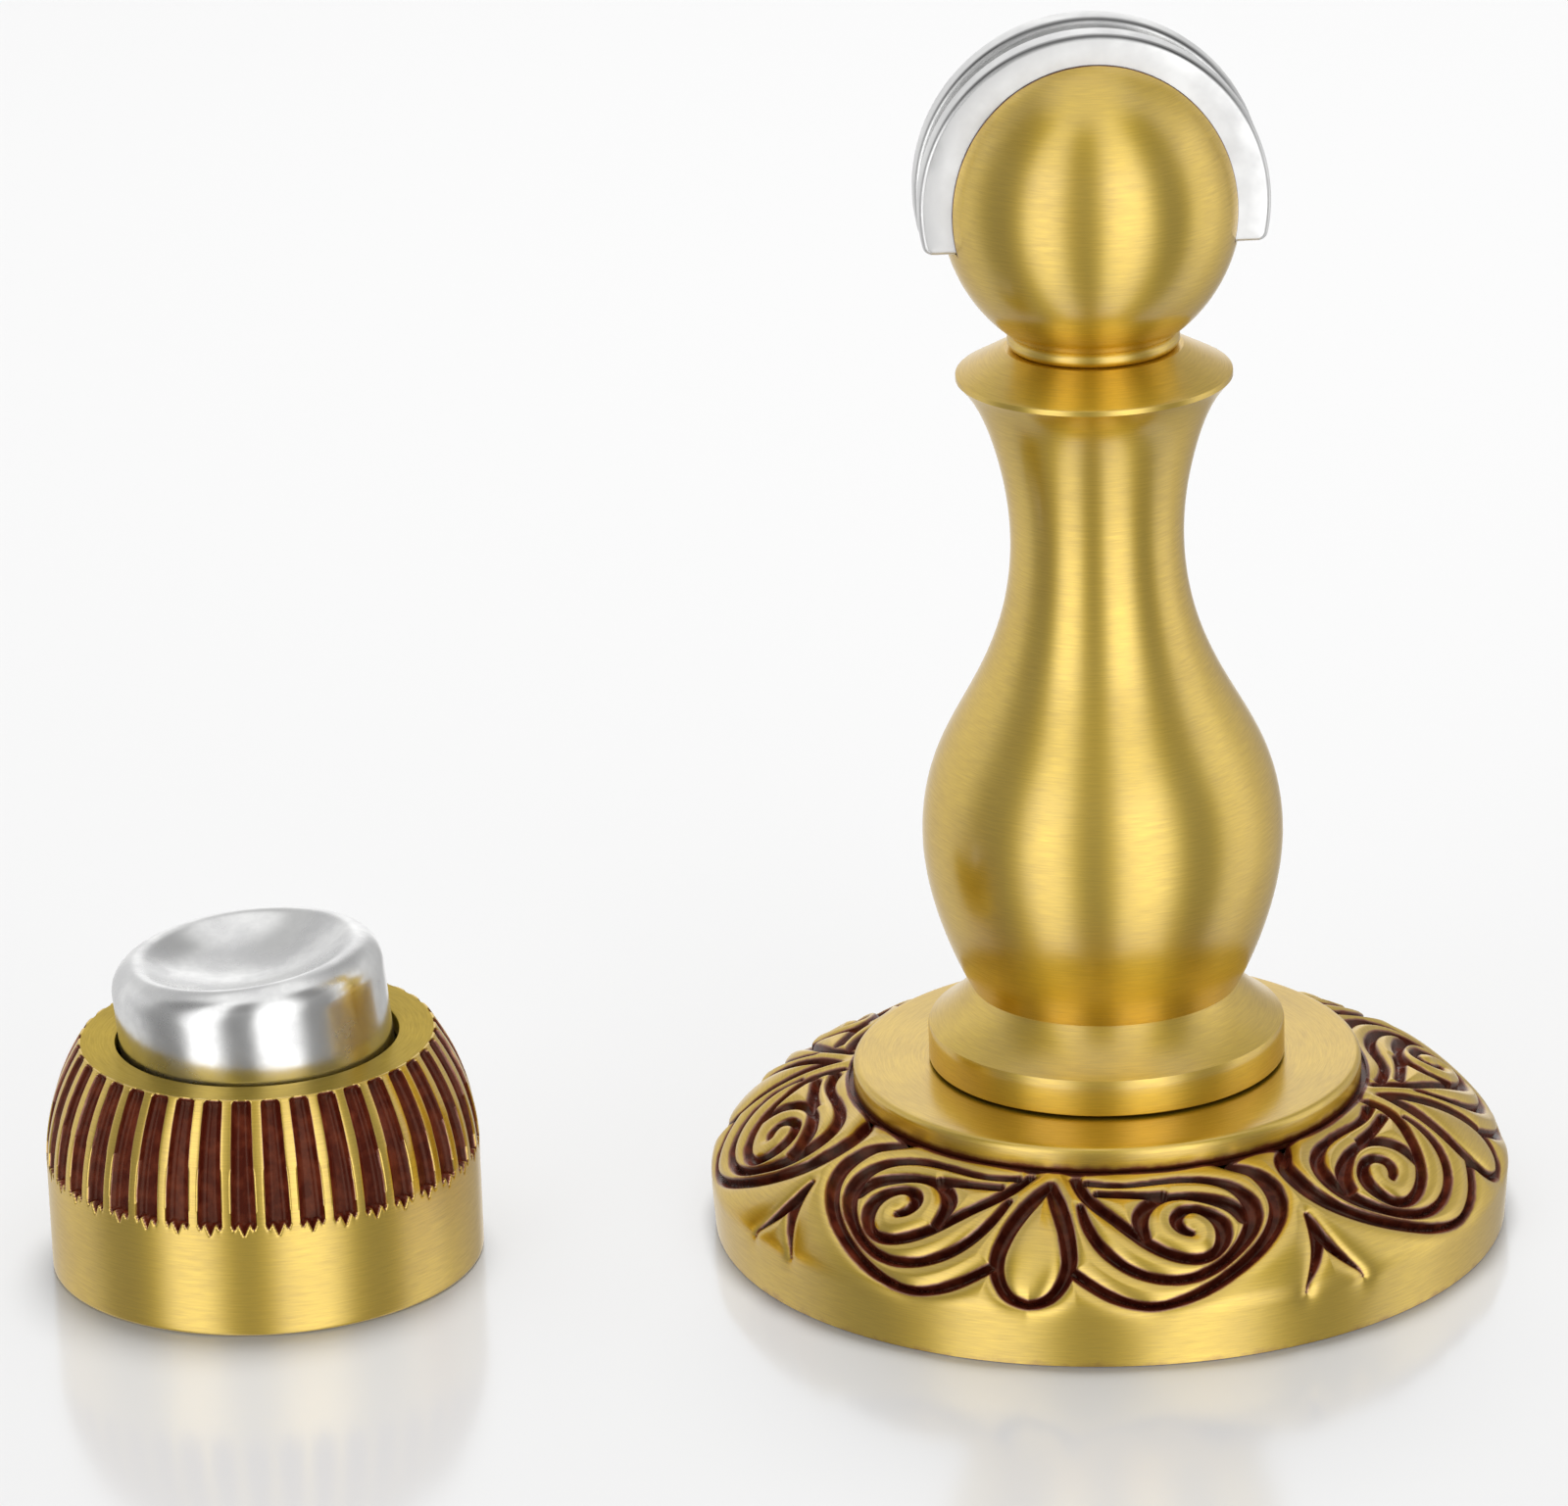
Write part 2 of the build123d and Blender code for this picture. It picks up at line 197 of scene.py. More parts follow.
def smooth_curve(points: Array, samples: int, ends: tuple[Array, Array] | None = None) -> Array:
    """Cubic curve through points, in chord length, with an even second derivative from piece to piece.

    Args:
        points: Points to pass through, whose first two columns give the chord lengths.
        samples: Number of points along the curve.
        ends: Slopes at the two ends, or None for ends without bend.

    Returns:
        Points along the curve.
    """
    p = np.asarray(points, float)
    t = travel(p[:, :2])
    h = np.diff(t)
    n = len(p)
    slope = np.diff(p, axis=0) / h[:, None]
    system = np.eye(n)
    load = np.zeros_like(p)
    inner = np.arange(1, n - 1)
    system[inner, inner - 1] = h[:-1]
    system[inner, inner] = 2.0 * (h[:-1] + h[1:])
    system[inner, inner + 1] = h[1:]
    load[1:-1] = 6.0 * np.diff(slope, axis=0)
    if ends is not None:
        system[0, :2] = 2.0 * h[0], h[0]
        system[-1, -2:] = h[-1], 2.0 * h[-1]
        load[0] = 6.0 * (slope[0] - ends[0])
        load[-1] = 6.0 * (ends[1] - slope[-1])
    bend = np.linalg.solve(system, load)
    q = np.linspace(0.0, t[-1], samples)
    k = np.clip(np.searchsorted(t, q, side="right") - 1, 0, n - 2)
    b = ((q - t[k]) / h[k])[:, None]
    a = 1.0 - b
    lift = ((a**3 - a) * bend[k] + (b**3 - b) * bend[k + 1]) * (h[k] ** 2 / 6.0)[:, None]
    return a * p[k] + b * p[k + 1] + lift


def rounded(corners: list[tuple[float, float]], radii: list[float], steps: int = 5) -> Array:
    """Straight runs through corners, each corner cut by a round tangent to both runs.

    Args:
        corners: Corner points.
        radii: Radius at each inner corner, 0 for a sharp one.
        steps: Points on each round.

    Returns:
        The path.
    """
    p = np.asarray(corners, float)
    runs = [p[:1]]
    for before, at, after, radius in zip(p[:-2], p[1:-1], p[2:], radii):
        back, on = unit(before - at), unit(after - at)
        half = 0.5 * math.acos(float(np.clip(back @ on, -1.0, 1.0)))
        reach = radius / math.tan(half)
        s = np.linspace(0.0, 1.0, steps if radius else 1)[:, None]
        first, last = at + back * reach, at + on * reach
        runs.append((1 - s) ** 2 * first + 2 * s * (1 - s) * at + s**2 * last)
    runs.append(p[-1:])
    return joined(*runs)


def filled(path: Array, step: float) -> Array:
    """A path with points added on long runs, at most a step apart."""
    gaps = np.linalg.norm(np.diff(path, axis=0), axis=1)
    counts = np.maximum(1, np.ceil(gaps / step)).astype(int)
    place = np.concatenate([k + np.arange(n) / n for k, n in enumerate(counts)] + [[len(counts)]])
    return np.column_stack([np.interp(place, np.arange(len(path)), path[:, axis]) for axis in range(2)])


@dataclass(frozen=True)
class Turning:
    """Axis that a piece is turned about, and the two directions across it."""

    centre: tuple[float, float, float] = (0.0, 0.0, 0.0)
    lean: float = 0.0

    def place(self, radius: Array, angle: Array, height: Array) -> Array:
        """Points at a radius, an angle and a height about the axis.

        Args:
            radius: Distance from the axis.
            angle: Angle about it in radians, from +X.
            height: Distance along it.

        Returns:
            Points in the part's frame, with the axis leaning from +Z to -X.
        """
        c, s = math.cos(math.radians(self.lean)), math.sin(math.radians(self.lean))
        across, along = radius * np.cos(angle), height
        x = across * c - along * s
        z = across * s + along * c
        return np.stack(np.broadcast_arrays(x, radius * np.sin(angle), z), axis=-1) + np.asarray(self.centre)

    def turned(self, profile: Array, columns: int) -> Sheet:
        """Surface of a profile carried round the axis.

        Args:
            profile: (radius, height) points, with the material on their left.
            columns: Number of steps round the axis.

        Returns:
            The surface, with its seam at the back and its map's second axis along the profile in millimetres.
        """
        u = np.arange(columns) / columns
        angle = 2.0 * np.pi * u + np.pi / 2
        points = self.place(profile[:, :1], angle[None, :], profile[:, 1:])
        v = travel(profile)
        return Sheet(points, spread_map(u, v))


# Finishes


class Nodes:
    """Nodes of a material or of the world, added and joined by name."""

    def __init__(self, owner: bpy.types.Material | bpy.types.World) -> None:
        """Starts from no nodes."""
        owner.use_nodes = True
        self.tree = owner.node_tree
        self.tree.nodes.clear()

    def put(self, node: bpy.types.Node, key: int | str, value: object) -> None:
        """Joins a socket to a node's input, or sets the input to a value."""
        if isinstance(value, bpy.types.NodeSocket):
            self.tree.links.new(value, node.inputs[key])
        else:
            node.inputs[key].default_value = value

    def add(self, kind: str, inputs: dict | None = None, **settings: object) -> bpy.types.Node:
        """Adds a node.

        Args:
            kind: Node type without its prefix.
            inputs: Values or sockets for its inputs.
            settings: Properties of the node.

        Returns:
            The node.
        """
        node = self.tree.nodes.new("ShaderNode" + kind)
        for key, value in settings.items():
            setattr(node, key, value)
        for key, value in (inputs or {}).items():
            self.put(node, key, value)
        return node

    def math(self, operation: str, a: object, b: object = 0.0, clamp: bool = False) -> bpy.types.NodeSocket:
        """Result of a sum on two numbers or sockets."""
        return self.add("Math", {0: a, 1: b}, operation=operation, use_clamp=clamp).outputs[0]

    def blend(self, share: object, a: object, b: object, **settings: object) -> bpy.types.NodeSocket:
        """Colour between two, by a share from 0 to 1."""
        node = self.add("Mix", {0: share}, data_type="RGBA", **settings)
        for key, value in ((6, a), (7, b)):
            self.put(node, key, (*value, 1.0) if isinstance(value, tuple) else value)
        return node.outputs[2]

    def climb(
        self, value: object, low: float, high: float, start: float = 0.0, end: float = 1.0, **settings: object
    ) -> bpy.types.NodeSocket:
        """Number that goes from start to end while a value goes from low to high."""
        limits = {"From Min": low, "From Max": high, "To Min": start, "To Max": end}
        return self.add("MapRange", {"Value": value, **limits}, **settings).outputs[0]

    def noise(self, place: object, scale: float, detail: float, roughness: float = 0.5) -> bpy.types.NodeSocket:
        """Soft noise from 0 to 1 at a place."""
        inputs = {"Vector": place, "Scale": scale, "Detail": detail, "Roughness": roughness}
        return self.add("TexNoise", inputs).outputs["Fac"]

    def ramp(self, place: object, levels: list[tuple[float, float]]) -> bpy.types.NodeSocket:
        """Level by a place from 0 to 1, eased between stops, as a share of the brightest."""
        node = self.add("ValToRGB", {0: place})
        node.color_ramp.interpolation = "EASE"
        stops = node.color_ramp.elements
        for k, (at, level) in enumerate(levels):
            stop = stops[k] if k < 2 else stops.new(at)
            stop.position, stop.color = at, (level / RAMP_TOP,) * 3 + (1.0,)
        return node.outputs[0]


class Shader(Nodes):
    """A new material's nodes."""

    def __init__(self, name: str) -> None:
        """Makes an empty material with an output."""
        self.material = bpy.data.materials.new(name)
        super().__init__(self.material)
        self.output = self.add("OutputMaterial")

    def finish(self, surface: bpy.types.Node) -> bpy.types.Material:
        """Joins a shader to the output and hands over the material."""
        self.tree.links.new(surface.outputs[0], self.output.inputs["Surface"])
        return self.material


@dataclass(frozen=True)
class BrushedBrass:
    """Satin brass, brushed round the turning axis, with dark patina and painted shade where a surface's patina value
    says so.
    """

    name: str
    gold: Colour = (0.86, 0.590, 0.045)
    shade: Colour = (0.66, 0.430, 0.026)
    edge_tint: Colour = (0.86, 0.72, 0.40)
    stain: Colour = (0.30, 0.085, 0.018)
    dark: Colour = (0.055, 0.0075, 0.004)
    dark_streak: Colour = (0.16, 0.030, 0.013)
    smooth: float = 0.33
    rough: float = 0.48
    lines_per_mm: float = 10.0
    line_length: float = 1.7
    line_depth: float = 0.006
    line_share: float = 0.65
    line_bump: float = 0.55
    cloud_scale: float = 160.0
    tone_span: tuple[float, float] = (0.3, 0.7)
    anisotropy: float = 0.55
    lacquer: float = 0.9
    lacquer_rough: float = 0.22
    lacquer_ior: float = 2.05
    gleam: float = 0.2
    aged: bool = False
    grime_scale: float = 900.0
    streak_span: tuple[float, float] = (0.42, 0.7)
    stain_from: tuple[float, float] = (0.12, 0.50)
    dark_from: tuple[float, float] = (0.40, 0.75)
    dark_rough: float = 0.27
    dark_lacquer: float = 0.06

    def material(self) -> bpy.types.Material:
        """Builds the material: lines round the axis from noise stretched along them, in colour, gloss and height."""
        s = Shader(self.name)
        place = s.add("TexCoord").outputs["Object"]
        lay = s.add("SeparateXYZ", {0: s.add("UVMap", uv_map=TURNING_MAP).outputs[0]}).outputs[1]
        reach = (1.0 / (self.line_length * MM),) * 3
        flat = s.add("VectorMath", {0: place, 1: reach}, operation="MULTIPLY").outputs[0]
        offset = s.add("CombineXYZ", {2: s.math("MULTIPLY", lay, self.lines_per_mm)}).outputs[0]
        lines = s.noise(s.add("VectorMath", {0: flat, 1: offset}, operation="ADD").outputs[0], 1.0, 3.0, 0.65)
        cloud = s.noise(place, self.cloud_scale, 2.0)
        fine, broad = s.math("MULTIPLY", lines, self.line_share), s.math("MULTIPLY", cloud, 1.0 - self.line_share)
        spread = s.climb(s.math("ADD", fine, broad), *self.tone_span)
        colour: object = s.blend(spread, self.shade, self.gold)
        rough: object = s.climb(spread, 0.0, 1.0, self.rough, self.smooth)
        metal: object = 1.0
        lacquer: object = self.lacquer
        if self.aged:
            share = s.add("Attribute", attribute_name=PATINA_AND_SHADE).outputs["Fac"]
            grime = s.noise(place, self.grime_scale, 3.0)
            ragged = s.math("ADD", share, s.math("MULTIPLY", s.math("SUBTRACT", grime, 0.5), 0.5))
            cover = s.climb(ragged, *self.dark_from)
            stained = s.blend(s.climb(ragged, *self.stain_from), colour, self.stain)
            colour = s.blend(cover, stained, s.blend(s.climb(grime, *self.streak_span), self.dark, self.dark_streak))
            rough = s.add("Mix", {0: cover, 2: rough, 3: self.dark_rough}).outputs[0]
            metal = s.climb(cover, 0.0, 1.0, 1.0, 0.0)
            lacquer = s.climb(cover, 0.0, 1.0, self.lacquer, self.dark_lacquer)
        bump = s.add("Bump", {"Height": lines, "Strength": self.line_bump, "Distance": self.line_depth * MM})
        return s.finish(s.add("BsdfPrincipled", {
            "Base Color": colour, "Metallic": metal, "Roughness": rough, "Normal": bump.outputs[0],
            "Anisotropic": self.anisotropy, "Anisotropic Rotation": 0.25,
            "Tangent": s.add("Tangent", direction_type="UV_MAP", uv_map=TURNING_MAP).outputs[0],
            "Coat Weight": lacquer, "Coat Roughness": self.lacquer_rough, "Coat IOR": self.lacquer_ior,
            "Specular IOR Level": self.gleam, "Specular Tint": (*self.edge_tint, 1.0),
        }))


@dataclass(frozen=True)
class Nickel:
    """Nickel plate over steel, from satin to bright, with soft marks, and painted dark shade where a surface's patina
    value says so.
    """

    name: str
    pale: Colour = (0.94, 0.94, 0.93)
    grey: Colour = (0.84, 0.84, 0.84)
    smooth: float = 0.30
    rough: float = 0.50
    # Painted shade: colour of the dark band on the plates' upper edges.
    edge: Colour = (0.05, 0.05, 0.05)
    marks: float = 260.0
    mark_span: tuple[float, float] = (0.35, 0.65)
    grain: float = 9000.0
    grain_share: float = 0.06
    waviness: float = 0.008
    wave_bump: float = 0.5

    def material(self) -> bpy.types.Material:
        """Builds the material: gloss and tone from soft noise, height from broad noise and fine grain."""
        s = Shader(self.name)
        place = s.add("TexCoord").outputs["Object"]
        cloud = s.noise(place, self.marks, 4.0, 0.6)
        grain = s.noise(place, self.grain, 2.0)
        spread = s.climb(cloud, *self.mark_span)
        height = s.math("ADD", cloud, s.math("MULTIPLY", grain, self.grain_share))
        bump = s.add("Bump", {"Height": height, "Strength": self.wave_bump, "Distance": self.waviness * MM})
        # Painted shade where the patina value is set, on the plates' upper edges.
        edge = s.add("Attribute", attribute_name=PATINA_AND_SHADE).outputs["Fac"]
        return s.finish(s.add("BsdfPrincipled", {
            "Base Color": s.blend(edge, s.blend(spread, self.grey, self.pale), self.edge), "Metallic": 1.0,
            "Roughness": s.climb(spread, 0.0, 1.0, self.rough, self.smooth), "Normal": bump.outputs[0],
        }))


@dataclass(frozen=True)
class Finishes:
    """Every material of the part, made once."""

    turned_brass: bpy.types.Material = field(default_factory=BrushedBrass("turned_brass").material)
    carved_brass: bpy.types.Material = field(default_factory=BrushedBrass("carved_brass", aged=True).material)
    fluted_brass: bpy.types.Material = field(default_factory=BrushedBrass(
        "fluted_brass", dark=(0.16, 0.020, 0.009), dark_streak=(0.34, 0.064, 0.026), aged=True,
    ).material)
    # Darker copy of the brass, with little lacquer, for the flat ring: painted shade, as the ring looks darker under
    # the light.
    shaded_ring_brass: bpy.types.Material = field(default_factory=BrushedBrass(
        "shaded_ring_brass", gold=(0.56, 0.41, 0.07), shade=(0.43, 0.31, 0.045), lacquer=0.2,
    ).material)
    pole_nickel: bpy.types.Material = field(default_factory=Nickel("pole_nickel").material)
    magnet_coat: bpy.types.Material = field(default_factory=Nickel(
        "magnet_coat", pale=(0.62, 0.62, 0.61), grey=(0.4, 0.4, 0.4),
    ).material)
    keeper_nickel: bpy.types.Material = field(default_factory=Nickel(
        "keeper_nickel", grey=(0.76, 0.76, 0.76), smooth=0.18, rough=0.30, waviness=0.004,
    ).material)
    zinc: bpy.types.Material = field(default_factory=Nickel(
        "zinc_plate", pale=(0.6, 0.61, 0.63), grey=(0.45, 0.46, 0.48),
    ).material)


# Pieces


@dataclass
class Piece:
    """One finished object, with what it rides on and stands for."""

    name: str
    body: Body
    slot: Slot
    stands_for: str
    sharp: float = 34.0

    def build(self, sheets: list[Sheet], material: bpy.types.Material) -> bpy.types.Object:
        """Puts sheets into one mesh, closes its poles and hands it to the frame.

        Args:
            sheets: Surfaces of the piece in millimetres.
            material: Finish of the piece.

        Returns:
            The object.
        """
        starts = np.cumsum([0] + [sheet.points.shape[0] * sheet.points.shape[1] for sheet in sheets])
        points = np.concatenate([sheet.points.reshape(-1, 3) for sheet in sheets]) * MM
        faces = np.concatenate([sheet.faces() + start for sheet, start in zip(sheets, starts)])
        uv = np.concatenate([sheet.corner_uv() for sheet in sheets])
        patina = np.concatenate([
            np.zeros(sheet.points.shape[:2]).ravel() if sheet.patina is None else sheet.patina.ravel()
            for sheet in sheets
        ])
        mesh = bpy.data.meshes.new(self.name)
        mesh.vertices.add(len(points))
        mesh.vertices.foreach_set("co", points.astype(np.float32).ravel())
        mesh.loops.add(faces.size)
        mesh.loops.foreach_set("vertex_index", faces.astype(np.int32).ravel())
        mesh.polygons.add(len(faces))
        mesh.polygons.foreach_set("loop_start", np.arange(0, faces.size, 4, dtype=np.int32))
        mesh.update(calc_edges=True)
        mesh.uv_layers.new(name=TURNING_MAP).data.foreach_set("uv", uv.astype(np.float32).ravel())
        mesh.attributes.new(PATINA_AND_SHADE, "FLOAT", "POINT").data.foreach_set("value", patina.astype(np.float32))
        work = bmesh.new()
        work.from_mesh(mesh)
        bmesh.ops.remove_doubles(work, verts=work.verts, dist=1e-7)
        work.to_mesh(mesh)
        work.free()
        mesh.polygons.foreach_set("use_smooth", np.ones(len(mesh.polygons), bool))
        mesh.set_sharp_from_angle(angle=math.radians(self.sharp))
        mesh.materials.append(material)
        piece = bpy.data.objects.new(self.name, mesh)
        bpy.context.scene.collection.objects.link(piece)
        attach(piece, self.body.value)
        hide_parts(self.stands_for)
        LOG.info("%s: %d faces", self.name, len(mesh.polygons))
        return piece


@dataclass
class Stroke:
    """One carved line of half a motif: (angle from the drop in degrees, radius on plan, width) along its middle."""

    route: list[tuple[float, float, float]]
    samples: int = 160

    def middle(self) -> Array:
        """Points and widths along the line's middle, on a smooth curve."""
        p = np.asarray(self.route)
        flat = np.column_stack([np.radians(p[:, 0]) * p[:, 1].mean(), p[:, 1], p[:, 2], p[:, 0]])
        return smooth_curve(flat, self.samples)[:, [3, 1, 2]]


@dataclass
class Ornament:
    """Scrolls, drop and chevron that repeat round the rosette, mirrored about each drop."""

    strokes: list[Stroke] = field(default_factory=lambda: [
        # outer scroll
        Stroke([
            (36.9, 17.77, 0.3), (39.35, 18.54, 0.75), (41.4, 19.46, 0.85), (42.2, 20.6, 1.05), (41.4, 22.7, 0.95),
            (37.2, 24.6, 0.65), (30.0, 26.1, 0.45), (22.0, 27.0, 0.35), (16.0, 27.1, 0.35), (10.2, 26.5, 0.4),
            (6.15, 25.7, 0.4),
        ]),
        # inner scroll
        Stroke([
            (7.5, 18.64, 0.5), (14.0, 18.95, 0.35), (22.0, 18.75, 0.4), (30.0, 19.1, 0.5), (35.3, 20.5, 0.7),
            (36.65, 21.8, 0.9), (36.0, 23.25, 0.9), (32.3, 24.8, 0.5), (26.0, 25.97, 0.35), (18.0, 26.0, 0.35),
            (11.5, 24.75, 0.45), (8.0, 22.85, 0.35), (6.55, 21.2, 0.15),
        ]),
        # volute
        Stroke([
            (4.8, 18.3, 0.4), (7.8, 20.5, 0.55), (12.35, 22.3, 0.5), (17.5, 24.1, 0.5), (22.6, 25.1, 0.45),
            (25.85, 25.25, 0.4), (28.3, 24.95, 0.45), (30.3, 23.45, 0.8), (28.0, 22.2, 0.45), (25.85, 21.9, 0.4),
            (23.95, 22.1, 0.5), (22.9, 22.75, 0.5), (23.55, 23.35, 0.4), (24.9, 23.7, 0.15),
        ], 200),
        # arch over the volute's eye
        Stroke([
            (17.35, 23.75, 0.4), (16.95, 22.35, 0.75), (19.65, 21.0, 0.6), (24.8, 20.6, 0.45), (30.2, 21.3, 0.7),
            (33.7, 22.45, 0.8), (34.35, 23.15, 0.7),
        ]),
        # brow
        Stroke([(9.65, 19.95, 0.4), (16.95, 20.2, 0.45), (21.5, 20.4, 0.7)], 60),
        # drop
        Stroke([
            (0.0, 18.95, 0.3), (2.1, 20.8, 0.75), (4.0, 22.65, 0.75), (5.35, 24.5, 0.7), (5.5, 25.4, 0.65),
            (4.4, 26.4, 0.5), (2.4, 26.95, 0.4), (0.0, 27.12, 0.35),
        ]),
        # chevron
        Stroke([(45.0, 23.9, 0.0), (44.85, 25.0, 0.55), (43.6, 26.0, 0.40), (40.2, 27.25, -0.28)], 60),
    ])

    def distance(self, turn: Array, lay: Array, radius: Array, rosette: "Rosette") -> Array:
        """Distance from the edge of the nearest carved line, below zero inside it.

        Args:
            turn: Angle from the drop in degrees, for each column.
            lay: Length along the section in millimetres, for each row.
            radius: Radius on plan for each row.
            rosette: Rosette whose section turns a radius into a length along it.

        Returns:
            Distances in millimetres, rows by columns.
        """
        nearest = np.full((len(lay), len(turn)), np.inf)
        for stroke in self.strokes:
            middle = stroke.middle()
            across = np.radians(np.abs(turn)[:, None] - middle[:, 0]) * radius[:, None, None]
            along = (lay[:, None] - rosette.lay_of(middle[:, 1]))[:, None, :]
            nearest = np.minimum(nearest, (np.hypot(across, along) - 0.5 * middle[:, 2]).min(axis=-1))
        return nearest


@dataclass
class Rosette:
    """Carved base: a plain rim, a domed band of scrolls and a raised disc."""

    radius: float = 27.3
    rim_height: float = 4.0
    rim_draft: float = 0.3
    round_draft: float = 0.13
    rim_round: float = 2.0
    dome_height: float = 5.85
    dome_bulge: float = 1.6
    disc_radius: float = 17.3
    disc_height: float = 1.55
    disc_edge: float = 0.5
    groove_width: float = 0.35
    groove_depth: float = 0.3
    recess_radius: float = 12.95
    recess_height: float = 6.0
    hole_radius: float = 6.2
    motifs: int = 4
    motif_turn: float = -11.8
    carve_depth: float = 0.62
    bleed: float = 0.18
    groove_wall: tuple[float, float] = (0.05, -0.40)
    patina_edge: tuple[float, float] = (0.22, -0.18)
    swell: float = 0.30
    swell_reach: float = 0.45
    rim_fade: float = 1.2
    # Darker towards the rim's bottom edge: strength, and reach along the section.
    rim_foot_dark: float = 0.24
    rim_dark_reach: tuple[float, float] = (0.6, 0.1)
    # Painted shade along the groove at the disc's foot: where it starts and ends before the band's end.
    disc_foot_shade: tuple[float, float] = (0.35, 0.05)
    groove_shade: tuple[float, float] = (0.75, 0.1)
    plain_rim: float = 0.4
    rows: int = 126
    columns: int = 372
    disc_columns: int = 360
    ornament: Ornament = field(default_factory=Ornament)

    def __post_init__(self) -> None:
        """Works out the section's two rounds: the dome's circle and the rim's round inside it."""
        foot = np.array([self.radius, self.rim_height])
        top = np.array([self.disc_radius, self.rim_height + self.dome_height])
        chord = top - foot
        length = float(np.linalg.norm(chord))
        dome_radius = length**2 / (8 * self.dome_bulge) + self.dome_bulge / 2
        inward = np.array([-chord[1], chord[0]]) / length
        dome_centre = (foot + top) / 2 + inward * (dome_radius - self.dome_bulge)
        side = self.radius - self.rim_draft * self.round_draft
        round_x = side - self.rim_round
        rise = math.sqrt((dome_radius - self.rim_round) ** 2 - (round_x - dome_centre[0]) ** 2)
        self.round_centre = np.array([round_x, dome_centre[1] + rise])
        meet = math.degrees(math.atan2(rise, round_x - dome_centre[0]))
        band_radius = self.disc_radius + self.groove_width
        band_end = math.degrees(math.acos((band_radius - dome_centre[0]) / dome_radius))
        rim = line((self.radius - self.rim_draft, 0.0), (side, self.round_centre[1]), 40)
        self.fine = joined(
            rim, arc(tuple(self.round_centre), self.rim_round, 0.0, meet, 60),
            arc(tuple(dome_centre), dome_radius, meet, band_end, 400),
        )
        self.fine_lay = travel(self.fine)
        self.rim_lay = self.fine_lay[len(rim) - 1]

    def lay_of(self, radius: Array) -> Array:
        """Length along the section at which the dome has a radius on plan."""
        upper = self.fine[:, 1] > self.round_centre[1] + 0.05
        return np.interp(-radius, -self.fine[upper, 0], self.fine_lay[upper])

    def section(self) -> tuple[Array, Array, Array]:
        """Rows of the carved band.

        Returns:
            Length along the section, (radius, height) points, and outward normals.
        """
        plain = self.rim_lay - self.plain_rim
        lay = np.concatenate([np.linspace(0.0, plain, 9)[:-1], np.linspace(plain, self.fine_lay[-1], self.rows)])
        point = np.column_stack([np.interp(lay, self.fine_lay, self.fine[:, axis]) for axis in range(2)])
        slope = np.gradient(self.fine, self.fine_lay, axis=0)
        run = np.column_stack([np.interp(lay, self.fine_lay, slope[:, axis]) for axis in range(2)])
        normal = np.column_stack([run[:, 1], -run[:, 0]])
        return lay, point, unit(normal)

    def sector(self, index: int) -> Sheet:
        """One motif of the band: the dome sunk along its normal in the carved lines and swelling between them.

        Args:
            index: Number of the motif, counted round from the front.

        Returns:
            The surface, with patina where it is sunk, painted shade along the groove at the disc's foot, and darker
            towards the rim's bottom edge.
        """
        lay, point, normal = self.section()
        share = 360.0 / self.motifs
        turn = np.linspace(-share / 2, share / 2, self.columns + 1)
        gap = self.ornament.distance(turn, lay, point[:, 0], self) - self.bleed
        sunk = smoothstep(*self.groove_wall, gap)
        crown = self.swell * np.exp(-np.maximum(gap, 0.0) / self.swell_reach)
        fade = smoothstep(0.0, self.rim_fade, lay)[:, None]
        offset = -(self.carve_depth * sunk + crown) * fade
        angle = np.radians(self.motif_turn + index * share - 90.0 + turn)[None, :]
        points = Turning().place(
            point[:, :1] + offset * normal[:, :1], angle, point[:, 1:] + offset * normal[:, 1:],
        )
        # Painted shade along the groove at the disc's foot.
        disc_foot_shade = smoothstep(*(self.fine_lay[-1] - np.array(self.disc_foot_shade)), lay)[:, None]
        # Patina value rising towards the rim's bottom edge.
        rim_dark = self.rim_foot_dark * smoothstep(*self.rim_dark_reach, lay)[:, None]
        patina = np.maximum(np.maximum(smoothstep(*self.patina_edge, gap) * fade, disc_foot_shade), rim_dark)
        return Sheet(points, spread_map(index / self.motifs + turn / 360.0, lay), wrap=False, patina=patina)

    def middle(self) -> Sheet:
        """Underside, recess, hole, disc and the groove at its foot, as one turned surface."""
        top = self.rim_height + self.dome_height + self.disc_height
        groove = self.rim_height + self.dome_height - self.groove_depth
        end = self.fine[-1]
        path = rounded([
            tuple(end), (end[0], groove), (self.disc_radius, groove), (self.disc_radius, top), (self.hole_radius, top),
            (self.hole_radius, self.recess_height), (self.recess_radius, self.recess_height), (self.recess_radius, 0.0),
            (self.radius - self.rim_draft, 0.0),
        ], [0.0, 0.0, self.disc_edge, 0.0, 0.0, 0.0, 0.0], 8)
        sheet = Turning().turned(filled(path, 0.6), self.disc_columns)
        low = smoothstep(*self.groove_shade, sheet.points[..., 2] - groove)
        outside = np.hypot(sheet.points[..., 0], sheet.points[..., 1]) > self.disc_radius - self.disc_edge
        sheet.patina = low * outside
        return sheet

    def build(self, finishes: Finishes) -> None:
        """Builds the carved band, motif by motif, and the middle."""
        finish = finishes.carved_brass
        for index in range(self.motifs):
            scroll = Piece(f"carved_scroll_{index + 1}", Body.FRAME, Slot.CARVED_BRASS, "base_rosette", CARVED_SHARP)
            scroll.build([self.sector(index)], finish)
        Piece("rosette_disc", Body.FRAME, Slot.CARVED_BRASS, "base_rosette").build([self.middle()], finish)


